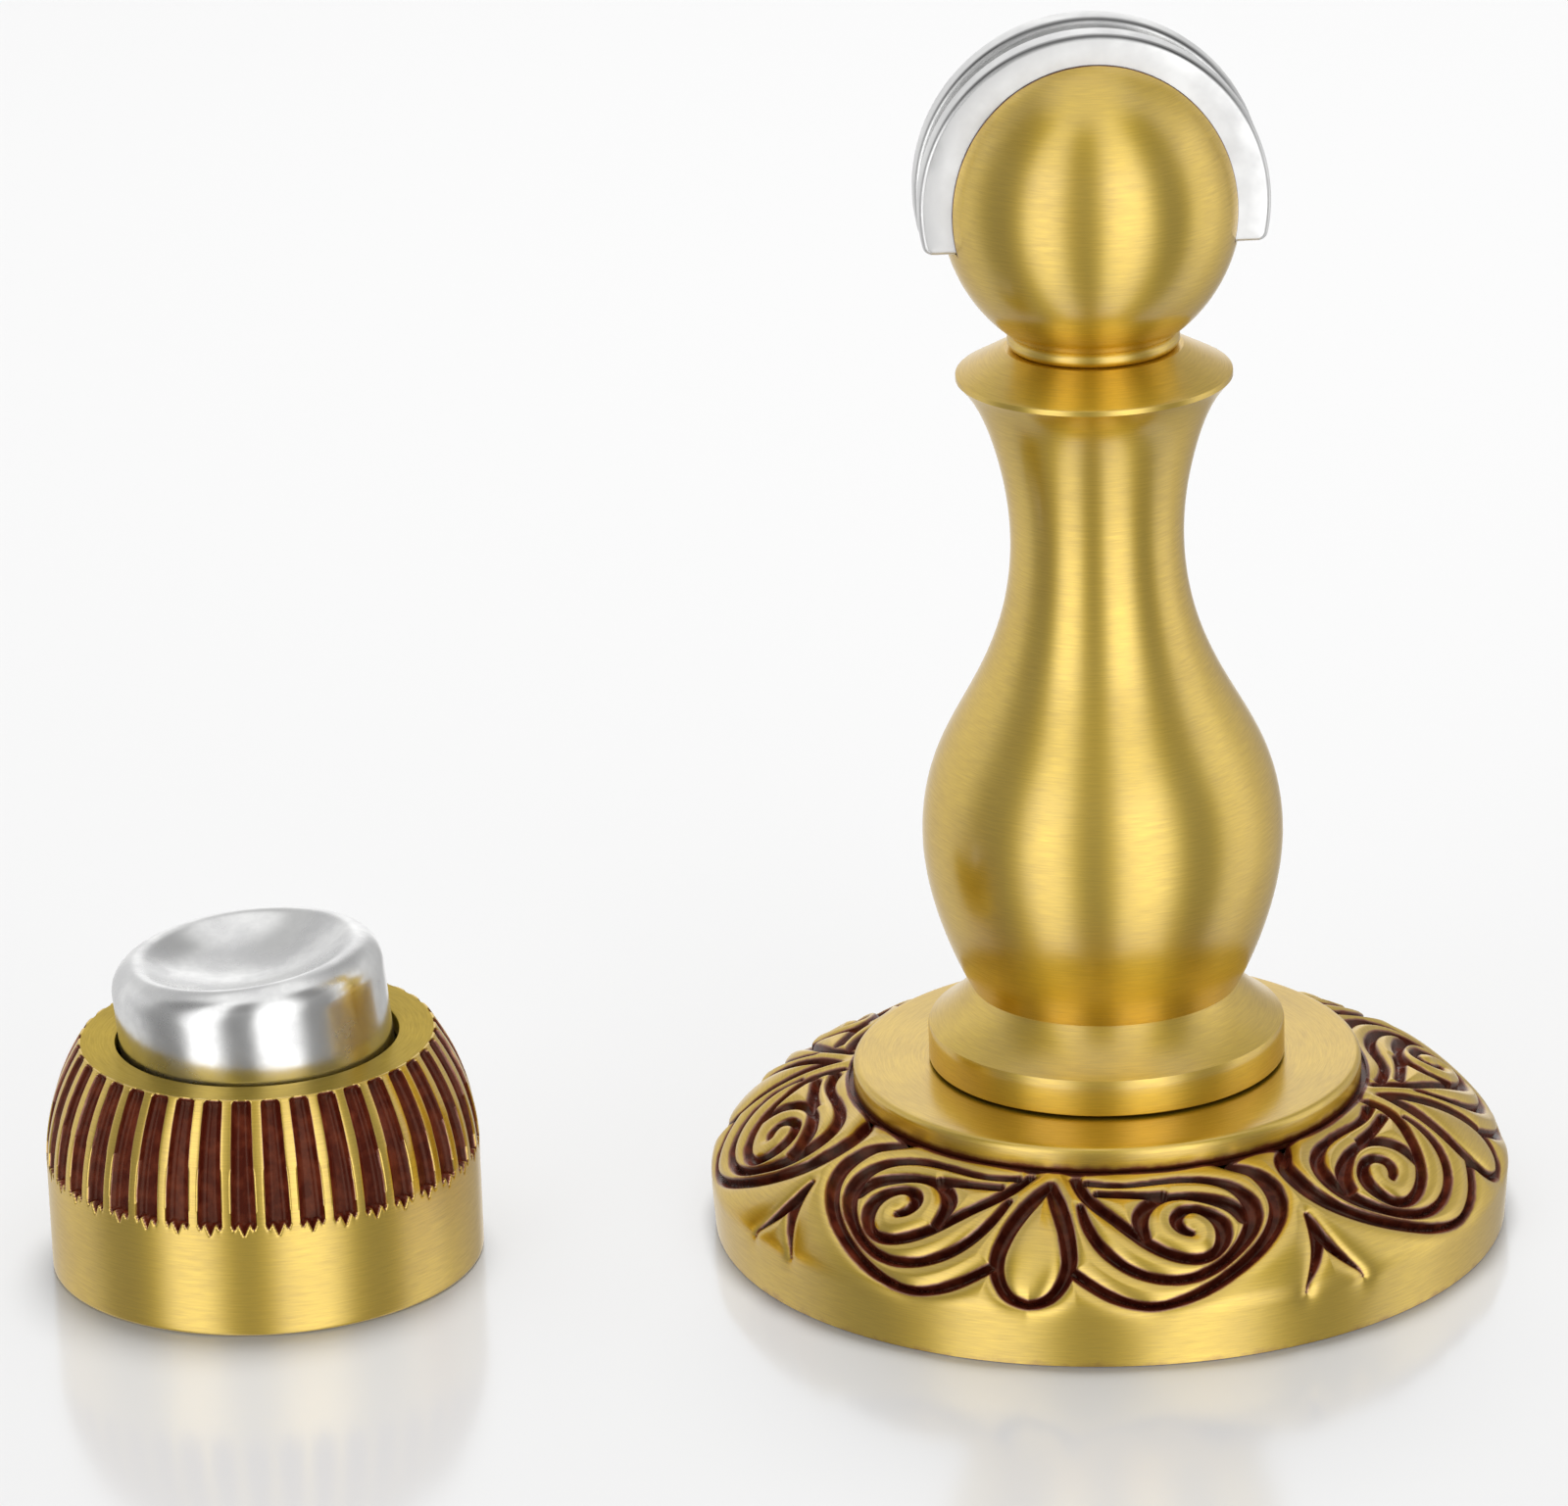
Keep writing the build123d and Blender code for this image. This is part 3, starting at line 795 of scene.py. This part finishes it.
@dataclass
class Stem:
    """Turned baluster on its moulded foot, up to the collar under the head."""

    spigot_radius: float = 6.0
    spigot_z: float = 0.5
    foot_radius: float = 12.1
    foot_z: float = 11.4
    foot_height: float = 2.7
    foot_edge: float = 0.25
    waist: tuple[float, float] = (9.1, 16.9)
    bulb: tuple[float, float] = (12.15, 27.3)
    neck: tuple[float, float] = (5.8, 48.6)
    collar: tuple[float, float] = (9.2, 59.7)
    collar_lip: float = 0.35
    seat: tuple[float, float] = (5.95, 61.8)
    flare_hollow: float = 0.2
    parting: float = 0.16
    parting_shadow: float = 0.12
    columns: int = 240

    def baluster(self) -> Array:
        """Outline from the waist over the bulb and the neck to the collar, as a smooth curve through nine points."""
        waist, bulb, neck, collar = (np.asarray(point) for point in (self.waist, self.bulb, self.neck, self.collar))
        points = np.array([
            waist, waist + (0.59, 0.395) * (bulb - waist),
            bulb, bulb + (0.15, 0.27) * (neck - bulb), bulb + (0.59, 0.525) * (neck - bulb),
            bulb + (0.882, 0.737) * (neck - bulb),
            neck, neck + (0.29, 0.58) * (collar - neck), collar,
        ])
        return smooth_curve(points, 180, (unit(np.array([0.55, 1.0])), unit(np.array([1.0, 1.0]))))

    def profile(self) -> Array:
        """Whole outline: spigot, foot with a fine parting line under it, hollow flare, baluster, lip and cone."""
        foot_top = self.foot_z + self.foot_height
        parting = self.foot_z + self.parting
        foot = rounded([
            (0.0, self.spigot_z), (self.spigot_radius, self.spigot_z), (self.spigot_radius, parting),
            (self.foot_radius - 0.3, parting), (self.foot_radius, parting + 0.05),
            (self.foot_radius, foot_top - self.foot_edge),
        ], [0.0, 0.0, 0.1, 0.1])
        flare = bowed((self.foot_radius - 0.08, foot_top), self.waist, self.flare_hollow, 26)
        lip = (self.collar[0], self.collar[1] + self.collar_lip)
        top = rounded([self.collar, lip, self.seat, (0.0, self.seat[1])], [0.14, 0.1])
        return joined(filled(foot, 0.5), flare, self.baluster(), filled(top, 0.4))

    def build(self, finishes: Finishes) -> None:
        """Turns the outline, with painted shadow in the parting line under the foot."""
        sheet = Turning().turned(self.profile(), self.columns)
        parting = self.foot_z + self.parting
        # Painted shadow: dark up to a little above the parting line.
        sheet.patina = smoothstep(parting + self.parting_shadow, parting, sheet.points[..., 2])
        Piece("turned_stem", Body.FRAME, Slot.TURNED_BRASS, "stem").build([sheet], finishes.carved_brass)


@dataclass
class Head:
    """Slotted ball on a beaded neck, with the magnet between two pole plates."""

    turn: float = 5.0
    seat_z: float = 61.8
    bead_radius: float = 5.75
    bead_height: float = 1.1
    ball_radius: float = 9.95
    ball_rise: float = 10.65
    ball_z: float = 71.7
    slot_z: float = 69.3
    slot_half: float = 3.25
    plate_radius: float = 11.59
    plate_z: float = 72.2
    plate_edge: float = 0.4
    plate_corner: float = 0.7
    core_edge: float = 0.12
    # Painted shade on the upper rounded edges of the plates: its strength here, and its place on the round, width and
    # rise below.
    edge_shade: float = 0.9
    # Painted shade along the slot's edge: how far it reaches onto the ball.
    slot_shade_reach: float = 0.20
    edge_shade_angle: float = 0.75
    edge_shade_width: float = 0.45
    edge_shade_rise: tuple[float, float] = (0.15, 0.85)
    magnet_half: float = 1.1
    plate_half: float = 3.2
    magnet_inset: float = 0.45
    ball_rings: int = 70
    ball_columns: int = 240
    bead_columns: int = 160

    def place(self, across: Array, out: Array, height: Array) -> Array:
        """Points by their distance across the slot's length, out towards the front, and up."""
        c, s = math.cos(math.radians(self.turn)), math.sin(math.radians(self.turn))
        return np.stack(np.broadcast_arrays(across * c + out * s, across * s - out * c, height), axis=-1)

    def on_ball(self, ring: Array, out: Array, phi: Array) -> Array:
        """Points of the spheroid on an upright ring, by their angle up from the slot's length."""
        reach = self.ball_radius * ring * np.cos(phi)
        return self.place(reach, out, self.ball_z + self.ball_rise * ring * np.sin(phi))

    def round_map(self, points: Array, flip: bool = False) -> Array:
        """Map about the upright axis: share of a turn, and length down the ball from its top."""
        sign = -1.0 if flip else 1.0
        u = np.arctan2(sign * points[..., 1], sign * points[..., 0]) / (2 * np.pi)
        v = self.ball_radius * np.arccos(np.clip((points[..., 2] - self.ball_z) / self.ball_rise, -1.0, 1.0))
        return np.stack([u, v], axis=-1)

    def cap(self, side: int) -> Sheet:
        """Half of the ball beside the slot: rings of the spheroid from the slot's wall to its front or back.

        Args:
            side: 1 for the front half, -1 for the back half.

        Returns:
            The closed surface, with the slot's wall and a painted shade line at its edge.
        """
        lam = np.linspace(math.asin(self.slot_half / self.ball_radius), math.pi / 2, self.ball_rings)
        ring = np.concatenate([[0.0, 0.5, 0.99], np.cos(lam)])[:, None]
        ring[:3] *= math.cos(lam[0])
        out = np.concatenate([[self.slot_half] * 3, self.ball_radius * np.sin(lam)])[:, None] * side
        phi = np.linspace(0.0, 2 * np.pi, self.ball_columns, endpoint=False)[None, :] * side
        points = self.on_ball(ring, out, phi)
        # Painted shade on the slot's wall and along its edge, where the ball meets the plates.
        wall = np.concatenate([np.ones(3), smoothstep(self.slot_shade_reach, 0.05, self.ball_radius * (lam - lam[0]))])
        above = smoothstep(self.slot_z - 0.25, self.slot_z + 0.05, points[..., 2])
        return Sheet(points, self.round_map(points), patina=wall[:, None] * above)

    def underside(self, side: int) -> Sheet:
        """Part of the ball under the slot on one side: the spheroid between the two halves, below the slot's floor.

        Args:
            side: 1 for the right, -1 for the left.

        Returns:
            The surface.
        """
        out = np.linspace(-self.slot_half, self.slot_half, 26)[:, None] * -side
        ring = np.sqrt(1.0 - (out / self.ball_radius) ** 2)
        start = np.arcsin((self.slot_z - self.ball_z) / (self.ball_rise * ring))
        t = np.linspace(0.0, 1.0, 60)[None, :]
        down = start + t * (-np.pi / 2 - start)
        points = self.on_ball(ring, out, down if side > 0 else np.pi - down)
        return Sheet(points, self.round_map(points, side < 0), wrap=False)

    def floor(self) -> Sheet:
        """Floor of the slot, out to the ball's outline at its height."""
        out = np.linspace(-self.slot_half, self.slot_half, 14)[:, None]
        reach = np.sqrt(1.0 - (out / self.ball_radius) ** 2 - ((self.slot_z - self.ball_z) / self.ball_rise) ** 2)
        across = self.ball_radius * reach * np.linspace(1.0, -1.0, 40)[None, :]
        points = self.place(across, out, np.full_like(across, self.slot_z))
        return Sheet(points, points[..., :2] * 0.1, wrap=False)

    def bead(self) -> Sheet:
        """Half-round bead at the ball's foot."""
        core = self.bead_radius - self.bead_height / 2
        middle = self.seat_z + self.bead_height / 2
        path = joined(
            line((0.0, self.seat_z), (core, self.seat_z), 4),
            arc((core, middle), self.bead_height / 2, -90.0, 90.0, 16),
            line((core, self.seat_z + self.bead_height), (core - 0.6, self.seat_z + 2 * self.bead_height), 4),
        )
        return Turning().turned(path, self.bead_columns)

    def outline(self, radius: float, inset: float) -> Array:
        """Plate's outline, drawn in by an inset: a round from one end of the flat foot over the top to the other.

        Args:
            radius: Radius of the round.
            inset: How far the outline is drawn in.

        Returns:
            (across, height) points, clockwise as seen from the front.
        """
        r, foot, turn = radius - inset, self.slot_z + inset, max(self.plate_corner - inset, 0.02)
        low = math.asin((foot + turn - self.plate_z) / (r - turn))
        side = (r - turn) * math.cos(low)
        over = arc((0.0, self.plate_z), r, 180.0 - math.degrees(low), math.degrees(low), 180)
        right = arc((side, foot + turn), turn, math.degrees(low), -90.0, 10)
        left = arc((-side, foot + turn), turn, 270.0, 180.0 - math.degrees(low), 10)
        base = line((side, foot), (-side, foot), 40)
        return np.concatenate([over[:-1], right[:-1], base[:-1], left[:-1]])

    def plate(self, low: float, high: float, radius: float, edge: float) -> Sheet:
        """Flat plate with rounded edges: outlines drawn in as the edge turns over, closed by its two faces.

        Args:
            low: Distance of its back towards the front.
            high: Distance of its front.
            radius: Radius of its round.
            edge: Radius of its edges.

        Returns:
            The closed surface.
        """
        a = np.linspace(0.0, math.pi / 2, 7)
        inset = np.concatenate([edge * (1 - np.sin(a)), edge * (1 - np.cos(a))])
        out = np.concatenate([high - edge * (1 - np.cos(a)), low + edge * (1 - np.sin(a))])
        rings = np.stack([self.outline(radius, i) for i in inset])
        centre = np.array([0.0, self.plate_z + radius * 0.35])
        shares = np.array([0.0, 0.9])[:, None, None]
        front = centre + shares * (rings[0] - centre)
        back = centre + shares[::-1] * (rings[-1] - centre)
        flat = np.concatenate([front, rings, back])
        depth = np.concatenate([[high] * 2, out, [low] * 2])[:, None]
        points = self.place(flat[..., 0], np.broadcast_to(depth, flat.shape[:2]), flat[..., 1])
        uv = spread_map(np.arange(flat.shape[1]) / flat.shape[1], np.arange(len(flat)) * 0.5)
        # Painted shade: a dark band over the upper rounded edges of the plates and magnet, standing for a dark
        # reflection there.
        shaded_band = np.exp(-(((a - self.edge_shade_angle) / self.edge_shade_width) ** 2))
        shaded_band = np.concatenate([[0.0, 0.0], shaded_band, 0.5 * shaded_band[::-1], [0.0, 0.0]])[:, None]
        upper = smoothstep(*self.edge_shade_rise, (points[..., 2] - self.plate_z) / radius)
        return Sheet(points, uv, patina=self.edge_shade * shaded_band * upper)

    def build(self, finishes: Finishes) -> None:
        """Builds the ball, the two pole plates and the magnet."""
        ball = [self.cap(1), self.cap(-1), self.underside(1), self.underside(-1), self.floor(), self.bead()]
        Piece("slotted_ball", Body.HEAD, Slot.TURNED_BRASS, "ball_head").build(ball, finishes.carved_brass)
        inner, outer = self.magnet_half, self.plate_half
        front = self.plate(inner, outer, self.plate_radius, self.plate_edge)
        back = self.plate(-outer, -inner, self.plate_radius, self.plate_edge)
        core = self.plate(-inner, inner, self.plate_radius - self.magnet_inset, self.core_edge)
        Piece("front_pole", Body.HEAD, Slot.POLE_STEEL, "front_pole_plate").build([front], finishes.pole_nickel)
        Piece("back_pole", Body.HEAD, Slot.POLE_STEEL, "back_pole_plate").build([back], finishes.pole_nickel)
        Piece("magnet_core", Body.HEAD, Slot.MAGNET, "magnet").build([core], finishes.magnet_coat)


@dataclass
class Catch:
    """Fluted cup on the door, with its leaning keeper button."""

    x: float = -57.4
    y: float = -5.1
    cup_radius: float = 14.7
    drum_height: float = 8.0
    height: float = 15.9
    ring_radius: float = 12.1
    bulge: float = 0.55
    lip_radius: float = 9.6
    lip_land: float = 1.3
    chamber_radius: float = 11.21
    flutes: int = 40
    foot_width: float = 1.64
    top_width: float = 1.26
    flute_depth: float = 0.62
    flute_run_on: float = 0.08
    flute_corner: float = 0.46
    flute_tilt: float = 0.35
    flute_ends: float = 0.15
    flute_shade: tuple[float, float] = (0.06, -0.05)
    edge_soften: float = 0.02
    edge_reach: float = 0.08
    middle_tip: float = 0.78
    middle_half: float = 0.34
    side_tip: float = 0.42
    side_half: float = 0.20
    side_place: float = 0.80
    plain_drop: float = 1.0
    plain_land: float = 0.15
    button_radius: float = 9.23
    button_rise: float = 6.2
    button_round: float = 2.0
    dish_depth: float = 2.2
    lean: float = 5.0
    flange_radius: float = 10.68
    flange_drop: float = 1.89
    flange_foot: float = 3.09
    seat_radius: float = 5.4
    spring_turns: float = 3.0
    wire_width: float = 1.4
    wire_height: float = 0.8
    wire_edge: float = 0.12
    press: float = 2.0
    flute_columns: int = 24
    cup_columns: int = 480
    keeper_columns: int = 220
    coil_rows: int = 193

    def axis(self) -> Turning:
        """Upright axis of the cup."""
        return Turning((self.x, self.y, 0.0))

    def shoulder(self, steps: int) -> Array:
        """Round shoulder from the drum up to the ring, bowed outwards by the bulge."""
        return bowed((self.cup_radius, self.drum_height), (self.ring_radius, self.height), -self.bulge, steps)

    def flute_gap(self, lay: Array, radius: Array, angle: Array) -> tuple[Array, Array]:
        """Distance from the edge of the nearest flute: a long slot with a round top and three points at its foot.

        Args:
            lay: Length up the outside from the drum's edge, for each row.
            radius: Radius of each row.
            angle: Angle of each column.

        Returns:
            Distances below zero inside a flute, and half the flute's width, rows by columns.
        """
        pitch = 2 * np.pi / self.flutes
        off = np.abs((angle + pitch / 2) % pitch - pitch / 2)[None, :] * radius[:, None]
        rise = lay[:, None]
        length = travel(self.shoulder(40))[-1] + self.flute_run_on
        half = 0.5 * (self.foot_width + (self.top_width - self.foot_width) * np.clip(rise / length, 0.0, 1.0))
        corner = self.flute_corner
        slot = np.hypot(np.maximum(off - half + corner, 0.0), np.maximum(rise - length + corner, 0.0)) - corner
        slot = np.maximum(slot, off - half)
        middle = off - self.middle_half * (1.0 + rise / self.middle_tip)
        side = np.abs(off - self.side_place * half) - self.side_half * (1.0 + rise / self.side_tip)
        return np.where(rise >= 0.0, slot, np.minimum(middle, side)), half

    def fluted_band(self) -> Sheet:
        """Shoulder with its flutes: the outside sunk along its normal to the depth of a round-bottomed groove."""
        drum = line((self.cup_radius, self.drum_height - self.plain_drop), (self.cup_radius, self.drum_height), 12)
        edge = rounded([
            tuple(self.shoulder(40)[-2]), (self.ring_radius, self.height),
            (self.ring_radius - self.plain_land, self.height),
        ], [0.1], 4)
        path = joined(drum, self.shoulder(64)[:-1], filled(edge[1:], 0.1))
        lay = travel(path) - self.plain_drop
        run = np.gradient(path, lay, axis=0)
        normal = unit(np.column_stack([run[:, 1], -run[:, 0]]) + (self.flute_tilt, 0.0))
        u = np.linspace(0.0, 1.0, self.flutes * self.flute_columns, endpoint=False)
        angle = 2 * np.pi * u + np.pi / 2
        gap, half = self.flute_gap(lay, path[:, 0], angle)
        inward = 1.0 - np.clip(-gap / half, 0.0, 1.0)
        soften = self.edge_soften * np.exp(-np.maximum(gap, 0.0) / self.edge_reach)
        ends = smoothstep(0.0, self.flute_ends, np.minimum(lay - lay[0], lay[-1] - lay))[:, None]
        depth = (self.flute_depth * np.sqrt(1.0 - inward**2) + soften) * ends
        points = self.axis().place(
            path[:, :1] - depth * normal[:, :1], angle[None, :], path[:, 1:] - depth * normal[:, 1:],
        )
        return Sheet(points, spread_map(u, lay), patina=smoothstep(*self.flute_shade, gap) * ends)

    def ring(self) -> Sheet:
        """Flat ring round the keeper, turned over at its lip."""
        path = rounded([
            (self.ring_radius - self.plain_land, self.height), (self.lip_radius, self.height),
            (self.lip_radius, self.height - self.lip_land),
        ], [0.12])
        return self.axis().turned(filled(path, 0.5), self.cup_columns)

    def cup_body(self) -> Sheet:
        """Rest of the cup: chamber under the lip, foot and the plain drum, carried round its axis."""
        lip_z = self.height - self.lip_land
        path = rounded([
            (self.lip_radius, lip_z), (self.chamber_radius, lip_z), (self.chamber_radius, 0.0), (self.cup_radius, 0.0),
            (self.cup_radius, self.drum_height - self.plain_drop),
        ], [0.0, 0.0, 0.25])
        return self.axis().turned(filled(path, 0.5), self.cup_columns)

    def button(self) -> Sheet:
        """Keeper: a dished top in a rounded rim, a straight side, a flange and a ball seat, about a leaning axis."""
        top = self.button_rise + self.lip_land / 2
        dish = self.button_radius - self.button_round
        bowl = (dish**2 + self.dish_depth**2) / (2 * self.dish_depth)
        edge = math.degrees(math.asin(dish / bowl))
        seat = math.sqrt(self.seat_radius**2 - self.flange_foot**2)
        tail = math.degrees(math.asin(seat / self.seat_radius))
        crest = smooth_curve(np.concatenate([
            arc((dish, top - self.button_round), self.button_round, 0.0, 78.0, 9),
            arc((0.0, top - self.dish_depth + bowl), bowl, -90.0 + edge * 0.9, -90.0, 9),
        ]), 90)
        path = joined(
            arc((0.0, 0.0), self.seat_radius, -90.0, -90.0 + tail, 14),
            filled(rounded([
                (seat, -self.flange_foot), (self.flange_radius, -self.flange_foot),
                (self.flange_radius, -self.flange_drop), (self.button_radius, -self.flange_drop),
                (self.button_radius, top - self.button_round),
            ], [0.2, 0.2, 0.0]), 0.5),
            crest,
        )
        path[-1, 0] = 0.0
        pivot = self.height - self.lip_land / 2
        return Turning((self.x, self.y, pivot), self.lean).turned(path, self.keeper_columns)

    def spring(self) -> Sheet:
        """Spring under the keeper: flat wire wound up from the plate to the cap, closed at both ends."""
        low, high = (np.asarray(corner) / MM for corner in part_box("keeper_spring"))
        t = np.concatenate([[0.0], np.linspace(0.0, 1.0, self.coil_rows), [1.0]])[:, None]
        w, h, e = self.wire_width / 2, self.wire_height / 2, self.wire_edge
        wire = np.array([
            (w, h - e), (w, e - h), (w - e, -h), (e - w, -h), (-w, e - h), (-w, h - e), (e - w, h), (w - e, h),
        ])
        size = np.ones_like(t)
        size[[0, -1]] = 0.0
        radius = (high - low)[0] / 2 - w + size * wire[None, :, 0]
        height = low[2] + h + t * (high - low - self.wire_height)[2] + size * wire[None, :, 1]
        points = self.axis().place(radius, 2 * np.pi * self.spring_turns * t, height)
        return Sheet(points, spread_map(np.arange(len(wire)) / len(wire), t[:, 0] * 20.0))

    def build(self, finishes: Finishes) -> None:
        """Builds the cup, the keeper and the spring."""
        brass = Slot.CARVED_BRASS
        band = Piece("fluted_band", Body.FRAME, brass, "catch_cup", CARVED_SHARP)
        band.build([self.fluted_band()], finishes.fluted_brass)
        Piece("cup_body", Body.FRAME, brass, "catch_cup").build([self.cup_body()], finishes.turned_brass)
        Piece("cup_ring", Body.FRAME, brass, "catch_cup").build([self.ring()], finishes.shaded_ring_brass)
        keeper = Piece("dished_keeper", Body.KEEPER, Slot.KEEPER_STEEL, "keeper_button")
        keeper.build([self.button()], finishes.keeper_nickel)
        coil = Piece("flat_wire_spring", Body.FRAME, Slot.SPRING_STEEL, "keeper_spring")
        spring = coil.build([self.spring()], finishes.zinc)
        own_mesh(spring)


# Stage


@dataclass
class Studio:
    """Pale floor, soft light from all round with brighter bands, and the camera of the photograph."""

    camera_mm: tuple[float, float, float] = (0.0, -538.58, 228.22)
    lens: float = 195.39
    sensor: float = 36.0
    pan: float = -0.0396
    pitch: float = 0.3467
    roll: float = -0.0322
    floor_half: float = 1.6
    floor_gap: float = 0.00004
    floor_lines: int = 9
    floor_tone: float = 0.90
    floor_gloss: float = 0.18
    floor_blur: float = 0.15
    floor_glow: float = 0.04
    bands: tuple[tuple[float, float], ...] = (
        (-180.0, 1.15), (-150.0, 0.80), (-122.0, 0.85), (-105.0, 0.85), (-84.0, 0.34), (-58.0, 0.28), (-44.0, 1.92),
        (-29.0, 1.92), (-14.0, 0.28), (4.0, 0.28), (16.0, 1.96), (36.0, 1.96), (54.0, 0.30), (76.0, 0.30), (88.0, 1.15),
        (104.0, 1.15), (122.0, 0.7), (160.0, 0.55), (173.0, 1.15), (180.0, 1.15),
    )
    heights: tuple[tuple[float, float], ...] = (
        (-90.0, 0.62), (-60.0, 0.68), (-32.0, 0.78), (-20.0, 0.88), (-6.0, 0.90), (8.0, 0.93), (22.0, 1.0),
        (36.0, 0.74), (58.0, 0.6), (74.0, 0.9), (90.0, 0.9),
    )
    zenith: float = 0.95
    zenith_span: tuple[float, float] = (0.80, 0.97)
    room_front: float = 0.16
    room_back: float = 0.48
    room_rise: tuple[float, float] = (0.1, 1.9)
    overhead: float = 6.3
    overhead_size: float = 0.5
    overhead_place: tuple[float, float, float] = (0.0, 0.3, 1.0)

    def camera(self) -> None:
        """Sets the camera by its place, pan, pitch and roll."""
        c, s = math.cos, math.sin
        ahead = Vector((s(self.pan) * c(self.pitch), c(self.pan) * c(self.pitch), -s(self.pitch)))
        right = ahead.cross(Vector((0.0, 0.0, 1.0))).normalized()
        up = right.cross(ahead)
        right, up = right * c(self.roll) + up * s(self.roll), up * c(self.roll) - right * s(self.roll)
        data = bpy.data.cameras.new("photo_camera")
        data.lens, data.sensor_width, data.sensor_fit = self.lens, self.sensor, "HORIZONTAL"
        data.clip_start, data.clip_end = 0.01, 20.0
        camera = bpy.data.objects.new("photo_camera", data)
        turn = Matrix((right, up, -ahead)).transposed().to_4x4()
        camera.matrix_world = Matrix.Translation(Vector(self.camera_mm) * MM) @ turn
        bpy.context.scene.collection.objects.link(camera)
        bpy.context.scene.camera = camera

    def floor(self) -> None:
        """Lays a wide floor: matt and pale, with a faint mirror and a little glow that lifts it to white."""
        run = np.linspace(-self.floor_half, self.floor_half, self.floor_lines)
        grid = np.insert(spread_map(run, run), 2, -self.floor_gap, axis=-1)
        mesh = bpy.data.meshes.new("floor")
        faces = Sheet(grid, grid, wrap=False).faces()
        mesh.from_pydata(grid.reshape(-1, 3).tolist(), [], faces.tolist())
        s = Shader("studio_floor")
        tone = (self.floor_tone,) * 3 + (1.0,)
        matt = s.add("BsdfDiffuse", {"Color": tone})
        mirror = s.add("BsdfGlossy", {"Color": (1.0, 1.0, 1.0, 1.0), "Roughness": self.floor_blur})
        mixed = s.add("MixShader", {0: self.floor_gloss, 1: matt.outputs[0], 2: mirror.outputs[0]})
        rays = s.add("LightPath")
        seen = s.math("ADD", rays.outputs["Is Camera Ray"], rays.outputs["Is Glossy Ray"], clamp=True)
        glow = s.add("Emission", {"Strength": s.math("MULTIPLY", seen, self.floor_glow)})
        mesh.materials.append(s.finish(s.add("AddShader", {0: mixed.outputs[0], 1: glow.outputs[0]})))
        floor = bpy.data.objects.new("floor", mesh)
        floor.visible_glossy = False
        bpy.context.scene.collection.objects.link(floor)

    def light(self) -> None:
        """Lights the stage from all round and from above.

        A reflection sees upright bands of brighter light by direction, less bright by height: band x height, carried
        over to one level straight up. A matt surface sees a room with a broad light overhead, that grows with the
        square of the height, and a little brighter behind than in front.
        """
        world = bpy.data.worlds.new("studio_light")
        bpy.context.scene.world = world
        s = Nodes(world)
        x, y, z = s.add("SeparateXYZ", {0: s.add("TexCoord").outputs["Generated"]}).outputs
        angle = s.math("ARCTAN2", x, s.math("MULTIPLY", y, -1.0))
        bands = s.ramp(s.climb(angle, -math.pi, math.pi), [(turn / 360.0 + 0.5, level) for turn, level in self.bands])
        rows = [(math.sin(math.radians(height)) / 2 + 0.5, level) for height, level in self.heights]
        shine = s.blend(1.0, bands, s.ramp(s.climb(z, -1.0, 1.0), rows), blend_type="MULTIPLY")
        top = s.climb(z, *self.zenith_span, interpolation_type="SMOOTHSTEP")
        seen = s.blend(top, shine, (self.zenith / WORLD_STRENGTH,) * 3)
        steep = s.math("POWER", s.math("MAXIMUM", z, 0.0), 2.0)
        room = s.climb(y, -1.0, 1.0, self.room_front / WORLD_STRENGTH, self.room_back / WORLD_STRENGTH)
        room = s.math("MULTIPLY", room, s.climb(steep, 0.0, 1.0, *self.room_rise))
        light = s.blend(s.add("LightPath").outputs["Diffuse Depth"], seen, room)
        glow = s.add("Background", {"Color": light, "Strength": WORLD_STRENGTH})
        s.add("OutputWorld", {0: glow.outputs[0]})
        lamp = bpy.data.lights.new("overhead", "AREA")
        lamp.shape, lamp.size, lamp.energy = "DISK", self.overhead_size, self.overhead
        overhead = bpy.data.objects.new("overhead", lamp)
        overhead.location = self.overhead_place
        overhead.rotation_euler = (-overhead.location).to_track_quat("-Z", "Y").to_euler()
        overhead.visible_glossy = False
        bpy.context.scene.collection.objects.link(overhead)

    def build(self) -> None:
        """Sets up camera, floor and light."""
        bpy.context.scene.view_settings.view_transform = "Standard"
        self.camera()
        self.floor()
        self.light()


def dress_inner(finishes: Finishes) -> None:
    """Gives the hidden fixings their finish."""
    for node in ("rosette_nut", "disc_spring", "head_screw", "spring_cap", "mounting_plate"):
        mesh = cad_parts[node].data
        mesh.materials.clear()
        mesh.materials.append(finishes.zinc)
        LOG.info("%s: dressed", node)


def main() -> None:
    """Builds the stage and every piece."""
    logging.basicConfig(level=logging.INFO, format="%(message)s")
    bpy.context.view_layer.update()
    Studio().build()
    finishes = Finishes()
    Rosette().build(finishes)
    Stem().build(finishes)
    Head().build(finishes)
    Catch().build(finishes)
    dress_inner(finishes)


if __name__ == "__main__":
    main()
